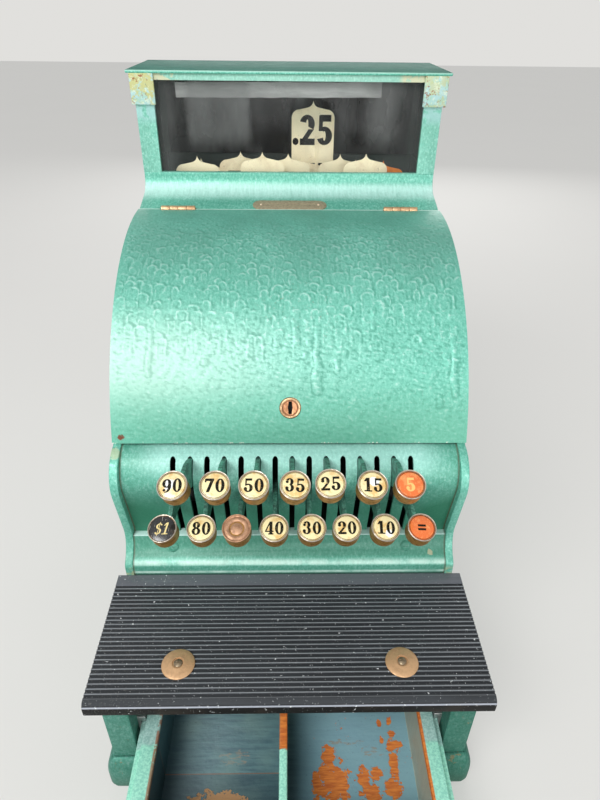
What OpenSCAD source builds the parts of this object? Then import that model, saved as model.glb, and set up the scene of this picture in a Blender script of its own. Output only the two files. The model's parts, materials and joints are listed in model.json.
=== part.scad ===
// Press-key ticket register: a domed cabinet over a spring-opened till drawer.
// X runs to the right, Y to the rear and Z up. The origin is the centre of the base's underside.
// Cabinet pieces use the cabinet frame: Y from the cabinet's front plane, Z from the shelf's top.

/* [Cabinet] */
// Width over the two side castings
cab_w = 254; // [240:1:290]
// Thickness of a side casting
cheek_t = 6; // [4:0.5:8]
// Depth from the front plane to the rear plane
cab_depth = 322; // [318:1:350]
// Thickness of the sheet back
back_t = 3; // [2:0.5:5]
// Thickness of the cabinet's floor board
cab_floor_t = 6; // [4:0.5:8]

/* [Front curve] */
// How far the bulge stands behind the front plane
bulge_set = 3.6; // [2:0.2:6]
// Radius of the bulge under the hood
bulge_r = 24; // [20:0.5:26]
// Height of the bulge's centre
bulge_z = 82; // [78:0.5:86]
// Lean of the flat between bulge and cove, in degrees
lean_a = 12.75; // [8:0.25:16]
// Height where the cove starts
cove_z = 36; // [35:0.5:39]
// Radius of the cove at the foot
cove_r = 22; // [19:0.5:24]
// Angle where the cove turns into the nose
cove_end_a = 60; // [50:1:66]

/* [Hood] */
// Outer radius of the hinged hood
hood_r = 172.5; // [168:0.5:178]
// Depth of the hood's centre line
hood_y = 190; // [186:0.5:194]
// Height of the hood's centre line
hood_z = 53; // [50:0.5:56]
// Thickness of the hood's sheet
lid_t = 2.2; // [1.5:0.1:3]
// Clearance between the hood and the castings that it closes on
lid_gap = 0.3; // [0.2:0.05:0.6]
// Gap between the hood's lower edge and the key panel
lid_lift = 1.7; // [1:0.1:2.5]

/* [Hinges] */
// Hinge axis behind the hood's centre line
hinge_back = 7.6; // [6:0.2:9]
// Distance of a hinge from the middle
hinge_x = 94; // [80:1:100]
// Length of a hinge's barrel
hinge_l = 28.6; // [24:0.2:34]
// Radius of a hinge's barrel
barrel_r = 2.8; // [2.4:0.1:3]
// Radius of a hinge pin
hinge_pin_r = 1.2; // [1:0.1:1.4]

/* [Lock] */
// Radius of the lock's barrel
lock_r = 7.25; // [6.8:0.05:8]
// Radius of the turning plug
plug_r = 5.8; // [5:0.1:6]
// Distance of the lock from the hood's lower edge, along the curve
lock_up = 25.7; // [22:0.1:32]
// Length of the lock's cam
cam_l = 23; // [20:0.5:24]

/* [Neck and window] */
// Radius of the neck's sweep
neck_r = 20; // [16:0.5:21]
// Thickness of the neck casting
neck_t = 3; // [2.5:0.1:4]
// Slope of the neck's front part, in degrees
neck_slope = 14.5; // [10:0.5:18]
// Front plane of the window
window_y = 234.5; // [234:0.5:238]
// Height of the window frame
window_h = 76.7; // [72:0.1:84]
// Width of a window post
post_w = 15.2; // [12:0.2:18]
// Thickness of the frame's front and rear walls
post_t = 4; // [3:0.5:5]
// Thickness of the frame's side walls
side_t = 3.5; // [2.5:0.5:5]
// Height of the rail over the glass
header_h = 5; // [4:0.5:8]
// Height of the sill under the glass
sill_h = 2; // [1.5:0.5:3]
// Thickness of a glass pane
glass_t = 2.5; // [2:0.1:3]
// Height of a corner cap
cap_h = 23; // [18:0.5:28]
// Thickness of a corner cap's metal
cap_t = 2.5; // [1.5:0.1:3]
// How far a corner cap wraps around the post
cap_wrap = 19.5; // [16:0.5:24]
// Thickness of the top cover
cover_t = 2.4; // [1.5:0.1:4]
// How far the top cover overhangs the frame's sides
cover_over = 5; // [3:0.5:8]
// Length of the nameplate
nameplate_l = 63; // [50:1:70]
// Width of the nameplate
nameplate_w = 14; // [12:0.5:15]

/* [Keys] */
// Distance between neighbouring key slots
key_pitch = 12.1; // [11.5:0.1:12.8]
// How far the key bank is set to the right
bank_x = 1.4; // [0:0.1:4]
// Thickness of a key lever
lever_t = 3; // [2:0.1:3.2]
// Width of a key slot
slot_w = 4; // [3.8:0.1:4.6]
// Height where the slots end at the top
slot_top = 102; // [101:0.5:103]
// Outer radius of a key's rim
key_r = 9.75; // [8.5:0.05:10]
// Depth of a key's cup
cup_h = 11; // [9.6:0.1:12]
// Thickness of the rim's metal
rim_t = 1.3; // [1:0.1:1.6]
// Tilt of a key's face from the level
key_tilt = 28; // [24:1:34]
// Depth and height of the upper row's faces
upper_face = [-34, 122.8];
// Depth and height of the lower row's faces
lower_face = [-30, 82];
// Depth of the key shaft
shaft_y = 52; // [48:0.5:56]
// Height of the key shaft
shaft_z = 40; // [39:0.5:44]
// Radius of the key shaft
shaft_r = 4; // [3:0.1:5]
// Radius of a lever's hub
hub_r = 8; // [7:0.5:9]
// Running clearance of turning pieces
run_gap = 0.05; // [0.02:0.01:0.08]
// Height of a lever's rear bar
bar_h = 6; // [5:0.5:8]

/* [Tabs] */
// Gap between the two closest tabs of one row
tab_gap = 0.4; // [0.3:0.1:2]
// Height of an indicator tab
tab_h = 48; // [44:0.5:52]
// Thickness of an indicator tab
tab_t = 0.8; // [0.6:0.1:1.2]
// Distance of the front row of tabs behind the front glass
row_set = 9; // [6:0.5:10]
// Distance of the rear row of tabs in front of the rear glass
row_end = 17.5; // [12:0.5:24]
// Width of a tab's rod
rod_w = 3; // [2:0.1:4]
// Thickness of a tab's rod
rod_t = 1.6; // [1.2:0.1:2]
// Clearance around a rod in its guides and over its lever
rod_gap = 0.4; // [0.3:0.05:0.5]
// Heights of the two guide plates
guide_z = [110, 180];
// Thickness of a guide plate
guide_t = 2; // [1.5:0.1:3]

/* [Base] */
// Height of the base under the shelf
base_h = 109.5; // [102:0.5:124]
// How far the base stands out past the cabinet, at the sides and the rear
base_out = 2; // [1:0.5:4]
// Distance from the base's front to the cabinet's front plane
base_reach = 90.5; // [85:0.5:95]
// Thickness of the base's side walls
base_wall = 18; // [14:0.5:20]
// Thickness of the base's floor
base_floor_t = 8; // [6:0.5:9]
// Height of the foot moulding
foot_h = 34; // [28:0.5:40]
// How far the foot moulding stands out
foot_out = 7; // [5:0.5:9]

/* [Shelf] */
// Thickness of the ribbed shelf
shelf_t = 14.5; // [12:0.5:16]
// How far the shelf overhangs the base at each side
shelf_over = 4; // [2:0.5:6]
// How far the shelf overhangs the base in front
shelf_front = 13.5; // [10:0.5:18]
// Distance between the shelf's ribs
rib_pitch = 3.46; // [3:0.02:4]
// Depth of the grooves between the ribs
rib_h = 0.8; // [0.5:0.1:1.2]
// Width of the plain band behind the ribs
shelf_band = 10.5; // [8:0.5:14]
// Distance of a medallion from the middle
medal_x = 75.5; // [60:0.5:85]
// Distance of a medallion from the cabinet's front plane
medal_y = 75.8; // [60:0.1:82]
// Radius of a medallion
medal_r = 11.25; // [9:0.05:13]
// Radius of a fixing screw's shank
screw_r = 1.5; // [1.2:0.1:2]

/* [Drawer] */
// How far the drawer stands open at rest
drawer_open = 130; // [110:1:140]
// Length of the drawer
drawer_l = 340; // [320:1:360]
// Room beside the drawer for its rails
rail_room = 7; // [6.5:0.5:9]
// Height of the drawer's sides
drawer_h = 53; // [46:0.5:60]
// Thickness of the drawer's walls
drawer_wall = 11; // [8:0.5:13]
// Thickness of the drawer's floor
drawer_floor = 5; // [4:0.5:7]
// Thickness of the drawer's front board
front_t = 13; // [11:0.5:16]
// Thickness of the divider
divider_t = 5.7; // [4:0.1:7]
// How far the divider stands to the left of the middle
divider_x = 5; // [0:0.5:10]
// Depth of the coin tray
tray_l = 76; // [70:1:80]
// Number of coin cups
cups = 5; // [4:1:6]
// Clearance of the drawer in its runners
slide_gap = 0.3; // [0.2:0.05:0.5]

/* [Hidden] */
$fn = 64;
KEYS = ["dollar", "90", "80", "70", "60", "50", "40", "35", "30", "25", "20", "15", "10", "5",
        "no_sale"];
last_key = len(KEYS) - 1;

// Half widths
cab_x = cab_w / 2;
inner_x = cab_x - cheek_t;
base_x = cab_x + base_out;
bay_x = base_x - base_wall;
drawer_x = bay_x - rail_room;

// Row frame places
base_d = base_reach + cab_depth + base_out;
front_y = -base_d / 2;
cab_y = front_y + base_reach;
shelf_z = base_h + shelf_t;

// Front curve of the castings, key panel and lower strip
bulge_y = bulge_set + bulge_r;
lean_top = [bulge_y - bulge_r * cos(lean_a), bulge_z - bulge_r * sin(lean_a)];
cove_start_y = lean_top[0] + (lean_top[1] - cove_z) * tan(lean_a);
cove_cy = cove_start_y - cove_r * cos(lean_a);
cove_cz = cove_z - cove_r * sin(lean_a);
nose_y = cove_cy + cove_r * cos(cove_end_a);
nose_z = cove_cz - cove_r * sin(cove_end_a);
nose_r = nose_y / (1 - cos(cove_end_a));
nose_cy = nose_r;
nose_cz = nose_z - nose_r * sin(cove_end_a);
bulge_top = bulge_z + bulge_r;
step_z = 28.5;
panel_set = 5.5;
panel_t = 2.5;
strip_set = 1;
strip_back = 22;
panel_flange_y = 38;

// Hood, hinge line and neck
lid_in_r = hood_r - lid_t;
seat_r = lid_in_r - lid_gap;
low_a = 180 - asin((bulge_top + lid_lift - hood_z) / lid_in_r);
hinge_y = hood_y + hinge_back;
joint_gap = 0.3;
top_a = acos((hinge_back - joint_gap) / hood_r);
hinge_z = hood_z + hood_r - 0.3;
neck_z = hood_z + hood_r - 1.2;
neck_in_z = neck_z - neck_t;
neck_front = hinge_y + joint_gap;
neck_cy = window_y - neck_r;
neck_cz = neck_z + neck_r;
neck_rise = (window_y - neck_front) * tan(neck_slope);
neck_bend = (neck_r - neck_rise) / (cos(neck_slope) - (1 - sin(neck_slope)) * tan(neck_slope));
frame_z = neck_cz + 2;
frame_top = frame_z + window_h;
notch_room = 0.6;
leaf_t = 1.2;
leaf_l = 14;
knuckles = 4;
knuckle_gap = 0.3;

// Lock
lock_a = low_a - lock_up / hood_r * 180 / PI;
lock_gap = 0.5;
lock_body = 14;
nut_r = 10;
nut_t = 3;
nut_in = lid_t + 0.4;
cam_t = 2;
cam_w = 6;
plug_tail = 2;
keyway = [2.4, 8.5];

// Window
glass_over = 5;
glass_lift = 0.5;
rear_glass_y = cab_depth - post_t - glass_t;
cap_back = 26;

// Key bank
function key_x(i) = bank_x + (i - last_key / 2) * key_pitch;
function is_upper(i) = i % 2 == 1;
function face_at(i) = is_upper(i) ? upper_face : lower_face;
neck_half = 4;
neck_back = 13;
blade_lap = 8;
face_t = 0.8;
face_drop = 0.4;
face_gap = 0.1;
stem_r = 3;
stem_h = 0.8;
stem_lap = 1;
cup_foot_r = 8;
cup_waist = [0.6, 1.4];
cup_lip = [0.6, 8.2, 8.8];
seat_gap = 0.05;
hub_side_gap = 0.6;
blank_key = 4;

// Indicator tabs: the row of each, its middle in key pitches from the bank's middle, and how far
// its tip stands above the window's foot, in tip lengths, while its key is at rest
TAB_ROW = [0, 2, 3, 1, 4, 0, 2, 1, 2, 3, 4, 1, 0, 2, 1];
TAB_AT = [-6.91, -6.9, -3.82, -3.78, -2.28, -2.12, -2.47, -0.22, 0.86, 1.67, 3.92, 3.69,
          5.52, 4.97, 6.98];
TAB_TIP = [1.89, 0.66, 0.84, 2.18, 0.66, 2.55, 0.3, 1.93, 1.04, 1.71, 0.57, 1.88, 2.41, 0.61, 0.43];
closest_tabs = 3.28;
raised_tab = 9;
press_a = 10;
tab_w = closest_tabs * key_pitch - tab_gap;
row_y = window_y + post_t + glass_t + row_set;
row_pitch = (rear_glass_y - row_end - row_y) / max(TAB_ROW);
function tab_y(i) = row_y + TAB_ROW[i] * row_pitch;
function tab_rise(i) = (tab_y(i) - shaft_y) * tan(press_a);
bar_z = shaft_z;
bar_lap = 4;
rod_foot = bar_z + bar_h + rod_gap;
rest_bar = [5, 4];
rest_gap = 0.3;
tip_l = 5.6;
shoulder_r = 7;
guide_margin = 6;
tip_side = 0.6;
tip_foot = 0.8;
shoulder_drop = 1.3;
rod_lap = 12;

// Bell
bell_y = 180;
bell_r = 22;
bell_t = 1.5;
bell_lift = 2;
bell_post = [3, 25];

// Drawer and base
runner_t = 2.2;
rail_w = rail_room - runner_t - slide_gap;
rail_h = 12;
rail_top = 6;
runner_in = 12;
runner_edge = 6;
drawer_z = base_floor_t + 3;
drawer_y = front_y - drawer_open;
drawer_top = drawer_z + drawer_h;
divider_drop = 4;
tray_drop = 5;
cup_web = 4;
board_gap = 0.8;
bead_t = 3;
bead_in = 14;
toe_in = 1.4;
toe_h = 5;
foot_round_z = 15;

function arc(c, r, a0, a1, n = 10) =
    [for (k = [0:n]) let (a = a0 + (a1 - a0) * k / n) [c[0] + r * cos(a), c[1] + r * sin(a)]];
function shifted(points, dy) = [for (p = points) [p[0] + dy, p[1]]];
function mirrored(points) = [for (k = [len(points) - 1:-1:0]) [-points[k][0], points[k][1]]];

// The castings' front edge, from the shelf up to the top of the bulge
front_edge = concat(
    arc([nose_cy, nose_cz], nose_r, 180, 180 - cove_end_a, 5),
    arc([cove_cy, cove_cz], cove_r, -cove_end_a, lean_a, 8),
    arc([bulge_y, bulge_z], bulge_r, 180 + lean_a, 90, 14));

module cabinet_frame() {
    translate([0, cab_y, shelf_z]) children();
}

// Stands a profile drawn in depth and height upright and gives it a width along X.
module across(x0, x1) {
    translate([x0, 0, 0]) rotate([90, 0, 90]) linear_extrude(x1 - x0) children();
}

module bar(x, y, z) {
    translate([x[0], y[0], z[0]]) cube([x[1] - x[0], y[1] - y[0], z[1] - z[0]]);
}

module both_sides() {
    children();
    mirror([1, 0, 0]) children();
}

/* ---- Base ---- */

module base_floor() {
    color("seagreen") bar([-base_x, base_x], [front_y, -front_y], [0, base_floor_t]);
}

module base_walls() {
    color("mediumaquamarine") {
        both_sides() bar([bay_x, base_x], [front_y, -front_y], [base_floor_t, base_h]);
        bar([-bay_x, bay_x], [-front_y - base_wall, -front_y], [base_floor_t, base_h]);
    }
}

// The foot's outline: a plain toe below, and a quarter of an ellipse above.
function foot_profile() = concat(
    [[0, 0], [foot_out - toe_in, 0], [foot_out, toe_h]],
    [for (k = [0:8]) let (a = 90 * k / 8)
        [foot_out * cos(a), foot_round_z + (foot_h - foot_round_z) * sin(a)]]);

module foot_run(length) {
    rotate([90, 0, 0]) linear_extrude(length) polygon(foot_profile());
}

module foot_corner() {
    rotate_extrude(angle = 90) polygon(foot_profile());
}

module foot_moulding() {
    color("mediumaquamarine") {
        both_sides() {
            translate([base_x, -front_y, 0]) foot_run(base_d);
            translate([base_x, -front_y, 0]) foot_corner();
            translate([base_x, front_y, 0]) rotate([0, 0, -90]) foot_corner();
            translate([base_x, front_y, 0]) rotate([0, 0, -90]) foot_run(base_wall);
        }
        translate([-base_x, -front_y, 0]) rotate([0, 0, 90]) foot_run(2 * base_x);
        bar([-bay_x, bay_x], [front_y - foot_out + toe_in, front_y], [0, base_floor_t]);
    }
}

module drawer_runners() {
    rail_z = drawer_top - rail_top;
    color("dimgray") both_sides() {
        translate([0, front_y + runner_in, 0]) rotate([90, 0, 0]) mirror([0, 0, 1])
            linear_extrude(base_d - base_wall - runner_in - 1) difference() {
                translate([drawer_x + 1, rail_z - rail_h - runner_edge])
                    square([rail_room - 1, rail_h + 2 * runner_edge]);
                translate([drawer_x, rail_z - rail_h - slide_gap])
                    square([rail_room - runner_t, rail_h + 2 * slide_gap]);
            }
    }
}

/* ---- Shelf ---- */

shelf_nose = 5;
groove_w = rib_pitch * 0.45;
ribs = floor((base_reach + shelf_front - shelf_band - shelf_nose - groove_w) / rib_pitch) + 1;
shelf_y0 = -base_reach - shelf_front;

module shelf_plate() {
    color("#1c1c1e") cabinet_frame() difference() {
        across(-base_x - shelf_over, base_x + shelf_over) polygon(concat(
            [[0, 0]],
            [for (k = [0:ribs - 1]) let (y = -shelf_band - k * rib_pitch)
                each [[y, 0], [y, -rib_h], [y - groove_w, -rib_h], [y - groove_w, 0]]],
            arc([shelf_y0 + shelf_nose, -shelf_nose], shelf_nose, 90, 180, 5),
            arc([shelf_y0 + shelf_nose, shelf_nose - shelf_t], shelf_nose, 180, 270, 5),
            [[0, -shelf_t]]));
        both_sides() translate([medal_x, -medal_y, -shelf_t - 1])
            cylinder(r = screw_r + run_gap, h = shelf_t + 2);
    }
}

dome_r = 6;
medal_seat_r = 4;
medal_seat_z = 1.4;

module shelf_medallions() {
    color("#b08d57") cabinet_frame() both_sides() translate([medal_x, -medal_y, 0])
        rotate_extrude() polygon([[screw_r + run_gap, 0], [medal_r, 0], [medal_r, 0.9],
            [medal_r - 1.1, 1.6], [medal_r - 2.6, 1.2], [dome_r, 1.9], [dome_r - 1.6, 2.2],
            [medal_seat_r, medal_seat_z], [screw_r + run_gap, medal_seat_z]]);
}

module screw(head_r, head_h, length) {
    difference() {
        union() {
            intersection() {
                cylinder(r = head_r, h = head_h);
                translate([0, 0, head_h - head_r * 1.6]) sphere(r = head_r * 1.6);
            }
            translate([0, 0, -length]) cylinder(r = screw_r, h = length + head_h / 2);
        }
        translate([-head_r, -0.4, head_h * 0.55]) cube([2 * head_r, 0.8, head_h]);
    }
}

strip_head_r = 4;
strip_screw_x = 90.4;
strip_screw_a = -33;

// Carries its children to a strip screw's seat, with Z out of the strip's face.
module at_strip_screw() {
    r = cove_r;
    both_sides() translate([strip_screw_x, cove_cy + strip_set + r * cos(strip_screw_a),
                            cove_cz + r * sin(strip_screw_a)])
        rotate([90 + strip_screw_a, 0, 0]) children();
}

module panel_screws() {
    color("#a8844f") cabinet_frame() {
        both_sides() translate([medal_x, -medal_y, medal_seat_z]) screw(3, 1.6, shelf_t - 1);
        at_strip_screw() screw(strip_head_r, 1.8, 6);
    }
}

/* ---- Cabinet ---- */

cheek_outline = concat(
    [[0, -shelf_t]],
    front_edge,
    arc([hood_y, hood_z], seat_r, low_a, top_a, 24),
    [[hinge_y - joint_gap, neck_in_z]],
    arc([neck_cy, neck_cz], neck_r + neck_t, -90, 0, 8),
    [[window_y + neck_t, frame_z], [cab_depth, frame_z], [cab_depth, -shelf_t]]);

module cheek() {
    color("mediumaquamarine") cabinet_frame() difference() {
        across(inner_x, cab_x) polygon(cheek_outline);
        translate([inner_x - 1, shaft_y, shaft_z]) rotate([0, 90, 0])
            cylinder(r = shaft_r + run_gap, h = cheek_t / 2 + 1);
    }
}

module left_cheek() {
    mirror([1, 0, 0]) cheek();
}

module right_cheek() {
    cheek();
}

module cabinet_floor() {
    color("#3d5a4f") cabinet_frame()
        bar([-inner_x, inner_x], [strip_back, cab_depth - back_t], [-shelf_t, -shelf_t + cab_floor_t]);
}

module back_panel() {
    color("mediumaquamarine") cabinet_frame()
        bar([-inner_x, inner_x], [cab_depth - back_t, cab_depth], [-shelf_t, frame_z]);
}

module key_panel() {
    cy = cove_cy + panel_set;
    by = bulge_y + panel_set;
    in_r = cove_r + panel_t;
    color("mediumaquamarine") cabinet_frame() difference() {
        across(-inner_x, inner_x) polygon(concat(
            arc([cy, cove_cz], cove_r, asin((step_z - cove_cz) / cove_r), lean_a, 3),
            arc([by, bulge_z], bulge_r, 180 + lean_a, 90, 14),
            [[panel_flange_y, bulge_top], [panel_flange_y, bulge_top - panel_t]],
            arc([by, bulge_z], bulge_r - panel_t, 90, 180 + lean_a, 14),
            arc([cy, cove_cz], in_r, lean_a, asin((step_z - cove_cz) / in_r), 3)));
        for (i = [0:last_key]) {
            x = key_x(i);
            bar([x - slot_w / 2, x + slot_w / 2], [0, panel_flange_y - 4],
                [step_z - 1, slot_top - slot_w / 2]);
            translate([x, 0, slot_top - slot_w / 2]) rotate([-90, 0, 0])
                cylinder(d = slot_w, h = panel_flange_y - 4);
        }
    }
}

module lower_strip() {
    cy = cove_cy + strip_set;
    color("mediumaquamarine") cabinet_frame() difference() {
        across(-inner_x, inner_x) polygon(concat(
            [[strip_set, -shelf_t]],
            shifted(arc([nose_cy, nose_cz], nose_r, 180, 180 - cove_end_a, 5), strip_set),
            arc([cy, cove_cz], cove_r, -cove_end_a, asin((step_z - cove_cz) / cove_r), 8),
            [[strip_back, step_z], [strip_back, -shelf_t]]));
        at_strip_screw() {
            translate([0, 0, -8]) cylinder(r = screw_r + run_gap, h = 10);
            cylinder(r = strip_head_r + run_gap, h = 4);
        }
    }
}

module neck() {
    color("mediumaquamarine") cabinet_frame() difference() {
        across(-cab_x, cab_x) polygon(concat(
            [[neck_front, neck_in_z], [neck_front, neck_z]],
            arc([window_y - neck_bend, neck_cz], neck_bend, neck_slope - 90, 0, 8),
            [[window_y, frame_z], [window_y + neck_t, frame_z]],
            arc([neck_cy, neck_cz], neck_r + neck_t, 0, -90, 8)));
        both_sides() bar([hinge_x - hinge_l / 2 - notch_room, hinge_x + hinge_l / 2 + notch_room],
                         [neck_front - 1, hinge_y + barrel_r + notch_room],
                         [neck_in_z - 1, neck_z + 2]);
    }
}

/* ---- Window ---- */

module window_opening(y0, y1) {
    bar([-cab_x + post_w, cab_x - post_w], [y0, y1], [frame_z + sill_h, frame_top - header_h]);
}

module window_frame() {
    color("mediumaquamarine") cabinet_frame() difference() {
        bar([-cab_x, cab_x], [window_y, cab_depth], [frame_z, frame_top]);
        bar([-cab_x + side_t, cab_x - side_t], [window_y + post_t, cab_depth - post_t],
            [frame_z - 1, frame_top + 1]);
        window_opening(window_y - 1, window_y + post_t + 1);
        window_opening(cab_depth - post_t - 1, cab_depth + 1);
    }
}

module window_glass() {
    x = cab_x - post_w + glass_over;
    color("#9aa5a0", 0.4) cabinet_frame() for (y = [window_y + post_t, rear_glass_y])
        bar([-x, x], [y, y + glass_t], [frame_z + glass_lift, frame_top - glass_lift]);
}

module corner_cap() {
    linear_extrude(cap_h) difference() {
        translate([cab_x + cap_t - cap_wrap, window_y - cap_t]) square([cap_wrap, cap_back]);
        translate([0, window_y]) square([cab_x, cap_back]);
    }
}

module corner_caps() {
    middle_y = (window_y + cab_depth) / 2;
    color("#8fa79a") cabinet_frame() translate([0, 0, frame_top - cap_h]) both_sides() {
        corner_cap();
        translate([0, 2 * middle_y, 0]) mirror([0, 1, 0]) corner_cap();
    }
}

module top_cover() {
    x = cab_x + cover_over;
    color("mediumaquamarine") cabinet_frame()
        bar([-x, x], [window_y - cap_t, cab_depth + cover_over], [frame_top, frame_top + cover_t]);
}

// Carries its children to the middle of the nameplate's seat, with Z out of the neck's slope.
module at_nameplate() {
    y = notch_room + nameplate_w / 2;
    translate([0, neck_front + y, neck_z + y * tan(neck_slope)]) rotate([neck_slope, 0, 0]) children();
}

module nameplate() {
    r = nameplate_w / 2;
    half = nameplate_l / 2 - r;
    color("#8a6a44") cabinet_frame() at_nameplate() {
        difference() {
            linear_extrude(1) union() {
                translate([-half, -r]) square([2 * half, 2 * r]);
                both_sides() translate([half, 0]) circle(r = r);
            }
            both_sides() translate([half, 0, -1]) cylinder(r = screw_r * 0.6 + run_gap, h = 3);
        }
        both_sides() translate([half, 0, 0]) cylinder(r = screw_r * 0.6, h = 1.4);
    }
}

/* ---- Hinges ---- */

// One hinge's leaf: every second knuckle from "first", and a plate that runs under the sheet.
module hinge_leaf(first, plate_z, side) {
    pitch = hinge_l / knuckles;
    knuckle_l = pitch - knuckle_gap;
    leaf_z = plate_z - hinge_z;
    translate([hinge_x - hinge_l / 2, hinge_y, hinge_z]) difference() {
        union() {
            for (k = [first:2:knuckles - 1]) translate([k * pitch, 0, 0]) {
                rotate([0, 90, 0]) cylinder(r = barrel_r, h = knuckle_l);
                bar([0, knuckle_l], side > 0 ? [barrel_r - leaf_t, barrel_r] : [-barrel_r, leaf_t - barrel_r],
                    [leaf_z, 0]);
            }
            bar([0, hinge_l], side > 0 ? [barrel_r, barrel_r + leaf_l] : [-barrel_r - leaf_l, -barrel_r],
                [leaf_z, leaf_z + leaf_t]);
        }
        rotate([0, 90, 0]) translate([0, 0, -1]) cylinder(r = hinge_pin_r + run_gap, h = hinge_l + 2);
    }
}

module fixed_hinge_leaves() {
    color("#c9a25a") cabinet_frame() both_sides() {
        hinge_leaf(0, neck_in_z - leaf_t, 1);
        translate([hinge_x - hinge_l / 2 - knuckle_gap, hinge_y, hinge_z]) rotate([0, 90, 0])
            cylinder(r = hinge_pin_r, h = hinge_l + knuckle_gap);
    }
}

module lid_hinge_leaves() {
    color("#c9a25a") cabinet_frame() both_sides()
        hinge_leaf(1, hood_z + lid_in_r - leaf_t - lid_gap - 0.1, -1);
}

/* ---- Hood and lock ---- */

// Carries its children to the lock's seat, with Z out of the hood.
module at_lock() {
    translate([0, hood_y + hood_r * cos(lock_a), hood_z + hood_r * sin(lock_a)])
        rotate([lock_a - 90, 0, 0]) children();
}

module lid() {
    color("mediumaquamarine") cabinet_frame() difference() {
        across(-cab_x, cab_x) polygon(concat(
            arc([hood_y, hood_z], hood_r, low_a, top_a, 36),
            arc([hood_y, hood_z], lid_in_r, top_a, low_a, 36)));
        at_lock() translate([0, 0, -lid_t - 3]) cylinder(r = lock_r + lock_gap, h = lid_t + 6);
        both_sides() bar([hinge_x - hinge_l / 2 - notch_room, hinge_x + hinge_l / 2 + notch_room],
                         [hinge_y - barrel_r - notch_room, hinge_y + 1],
                         [hinge_z - barrel_r - 2, hinge_z + 2]);
    }
}

barrel_lip = 0.4;
plug_set = 0.6;

module lock_barrel() {
    color("#b08d57") cabinet_frame() at_lock() difference() {
        union() {
            translate([0, 0, -lock_body]) cylinder(r = lock_r, h = lock_body + barrel_lip);
            translate([0, 0, -nut_in - nut_t]) cylinder(r = nut_r, h = nut_t);
        }
        translate([0, 0, -lock_body - 1]) cylinder(r = plug_r + run_gap, h = lock_body + 3);
    }
}

module lock_plug() {
    color("#9c7a48") cabinet_frame() at_lock() {
        difference() {
            translate([0, 0, -lock_body - plug_tail])
                cylinder(r = plug_r, h = lock_body + plug_tail - plug_set);
            translate([-keyway[0] / 2, -keyway[1] / 2, -6]) cube([keyway[0], keyway[1], 8]);
        }
        translate([-cam_w / 2, -cam_w / 2, -lock_body - plug_tail - cam_t])
            cube([cam_l + cam_w / 2, cam_w, cam_t]);
    }
}

/* ---- Keys and tabs ---- */

module key_shaft() {
    x = inner_x + cheek_t / 2 - 0.5;
    color("silver") cabinet_frame() translate([-x, shaft_y, shaft_z]) rotate([0, 90, 0])
        cylinder(r = shaft_r, h = 2 * x);
}

// Depth and height of the back of a key's cup
function cup_at(i) = face_at(i) - (cup_h + stem_h) * [-sin(key_tilt), cos(key_tilt)];
function cup_edge(i, s) = cup_at(i) + s * neck_half * [cos(key_tilt), sin(key_tilt)];

slot_y = bulge_set + panel_set + 10;
upper_blade = [100.5, 80];
lower_blade = [78, 58];

// A lever's outline: the blade in front, the hub and the rear bar that lifts a tab.
function lever_outline(i) =
    let (b = is_upper(i) ? upper_blade : lower_blade, top = cup_edge(i, 1), bottom = cup_edge(i, -1))
    concat(
        [bottom, top],
        is_upper(i) ? [[top[0] + neck_back, b[0] + 12.5], [slot_y - 18, b[0] + 9.5],
                       [slot_y - 8, b[0] + 5]] : [[slot_y - 16, b[0] + 0.5]],
        [[slot_y, b[0]], [slot_y + neck_back, b[0] - 5], [shaft_y + blade_lap, bar_z + bar_h],
         [tab_y(i) + bar_lap, bar_z + bar_h], [tab_y(i) + bar_lap, bar_z], [shaft_y, bar_z],
         [slot_y + 6, b[1] - 4], [slot_y - 10, b[1] + 3]]);

// Carries its children to the end of a lever, with Z out of the key's face.
module at_cup(i) {
    translate([key_x(i), cup_at(i)[0], cup_at(i)[1]]) rotate([key_tilt, 0, 0]) children();
}

module key_lever(i) {
    x = key_x(i);
    hub_l = key_pitch - hub_side_gap;
    difference() {
        union() {
            across(x - lever_t / 2, x + lever_t / 2) polygon(lever_outline(i));
            translate([x - hub_l / 2, shaft_y, shaft_z]) rotate([0, 90, 0]) cylinder(r = hub_r, h = hub_l);
            at_cup(i) translate([0, 0, -stem_lap]) cylinder(r = stem_r, h = stem_h + stem_lap);
        }
        translate([x - key_pitch, shaft_y, shaft_z]) rotate([0, 90, 0])
            cylinder(r = shaft_r + run_gap, h = 2 * key_pitch);
    }
}

module key_cup(i) {
    face_z = cup_h - face_t - face_drop;
    wall_r = key_r - rim_t;
    at_cup(i) {
        translate([0, 0, stem_h + seat_gap]) {
            rotate_extrude() polygon([[0, 0], [cup_foot_r, 0], [key_r - cup_waist[0], cup_waist[1]],
                                      [key_r - cup_lip[0], cup_lip[1]], [key_r, cup_lip[2]],
                                      [key_r, cup_h - face_drop], [key_r - face_drop, cup_h],
                                      [wall_r, cup_h], [wall_r, face_z], [0, face_z]]);
            if (i == blank_key) translate([0, 0, face_z])
                rotate_extrude() polygon([[3.2, 0], [5, 0], [4.4, 0.5], [3.8, 0.5]]);
            else translate([0, 0, face_z + seat_gap]) cylinder(r = wall_r - face_gap, h = face_t);
        }
    }
}

module key(i) {
    color(i == 0 ? "#222222" : i >= last_key - 1 ? "#e8683a" : "#e9dfb4") cabinet_frame() {
        key_lever(i);
        key_cup(i);
    }
}

// A tab's outline, with its tip at the origin
function tab_side() =
    let (half = tab_w / 2, shoulder_z = -tip_l - shoulder_drop)
    concat(
        arc([tip_l + tip_side, tip_foot], tip_l + tip_side, 187, 260, 6),
        arc([half - shoulder_r, shoulder_z - shoulder_r], shoulder_r, 90, 0, 6),
        [[half, -tab_h]]);

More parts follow.
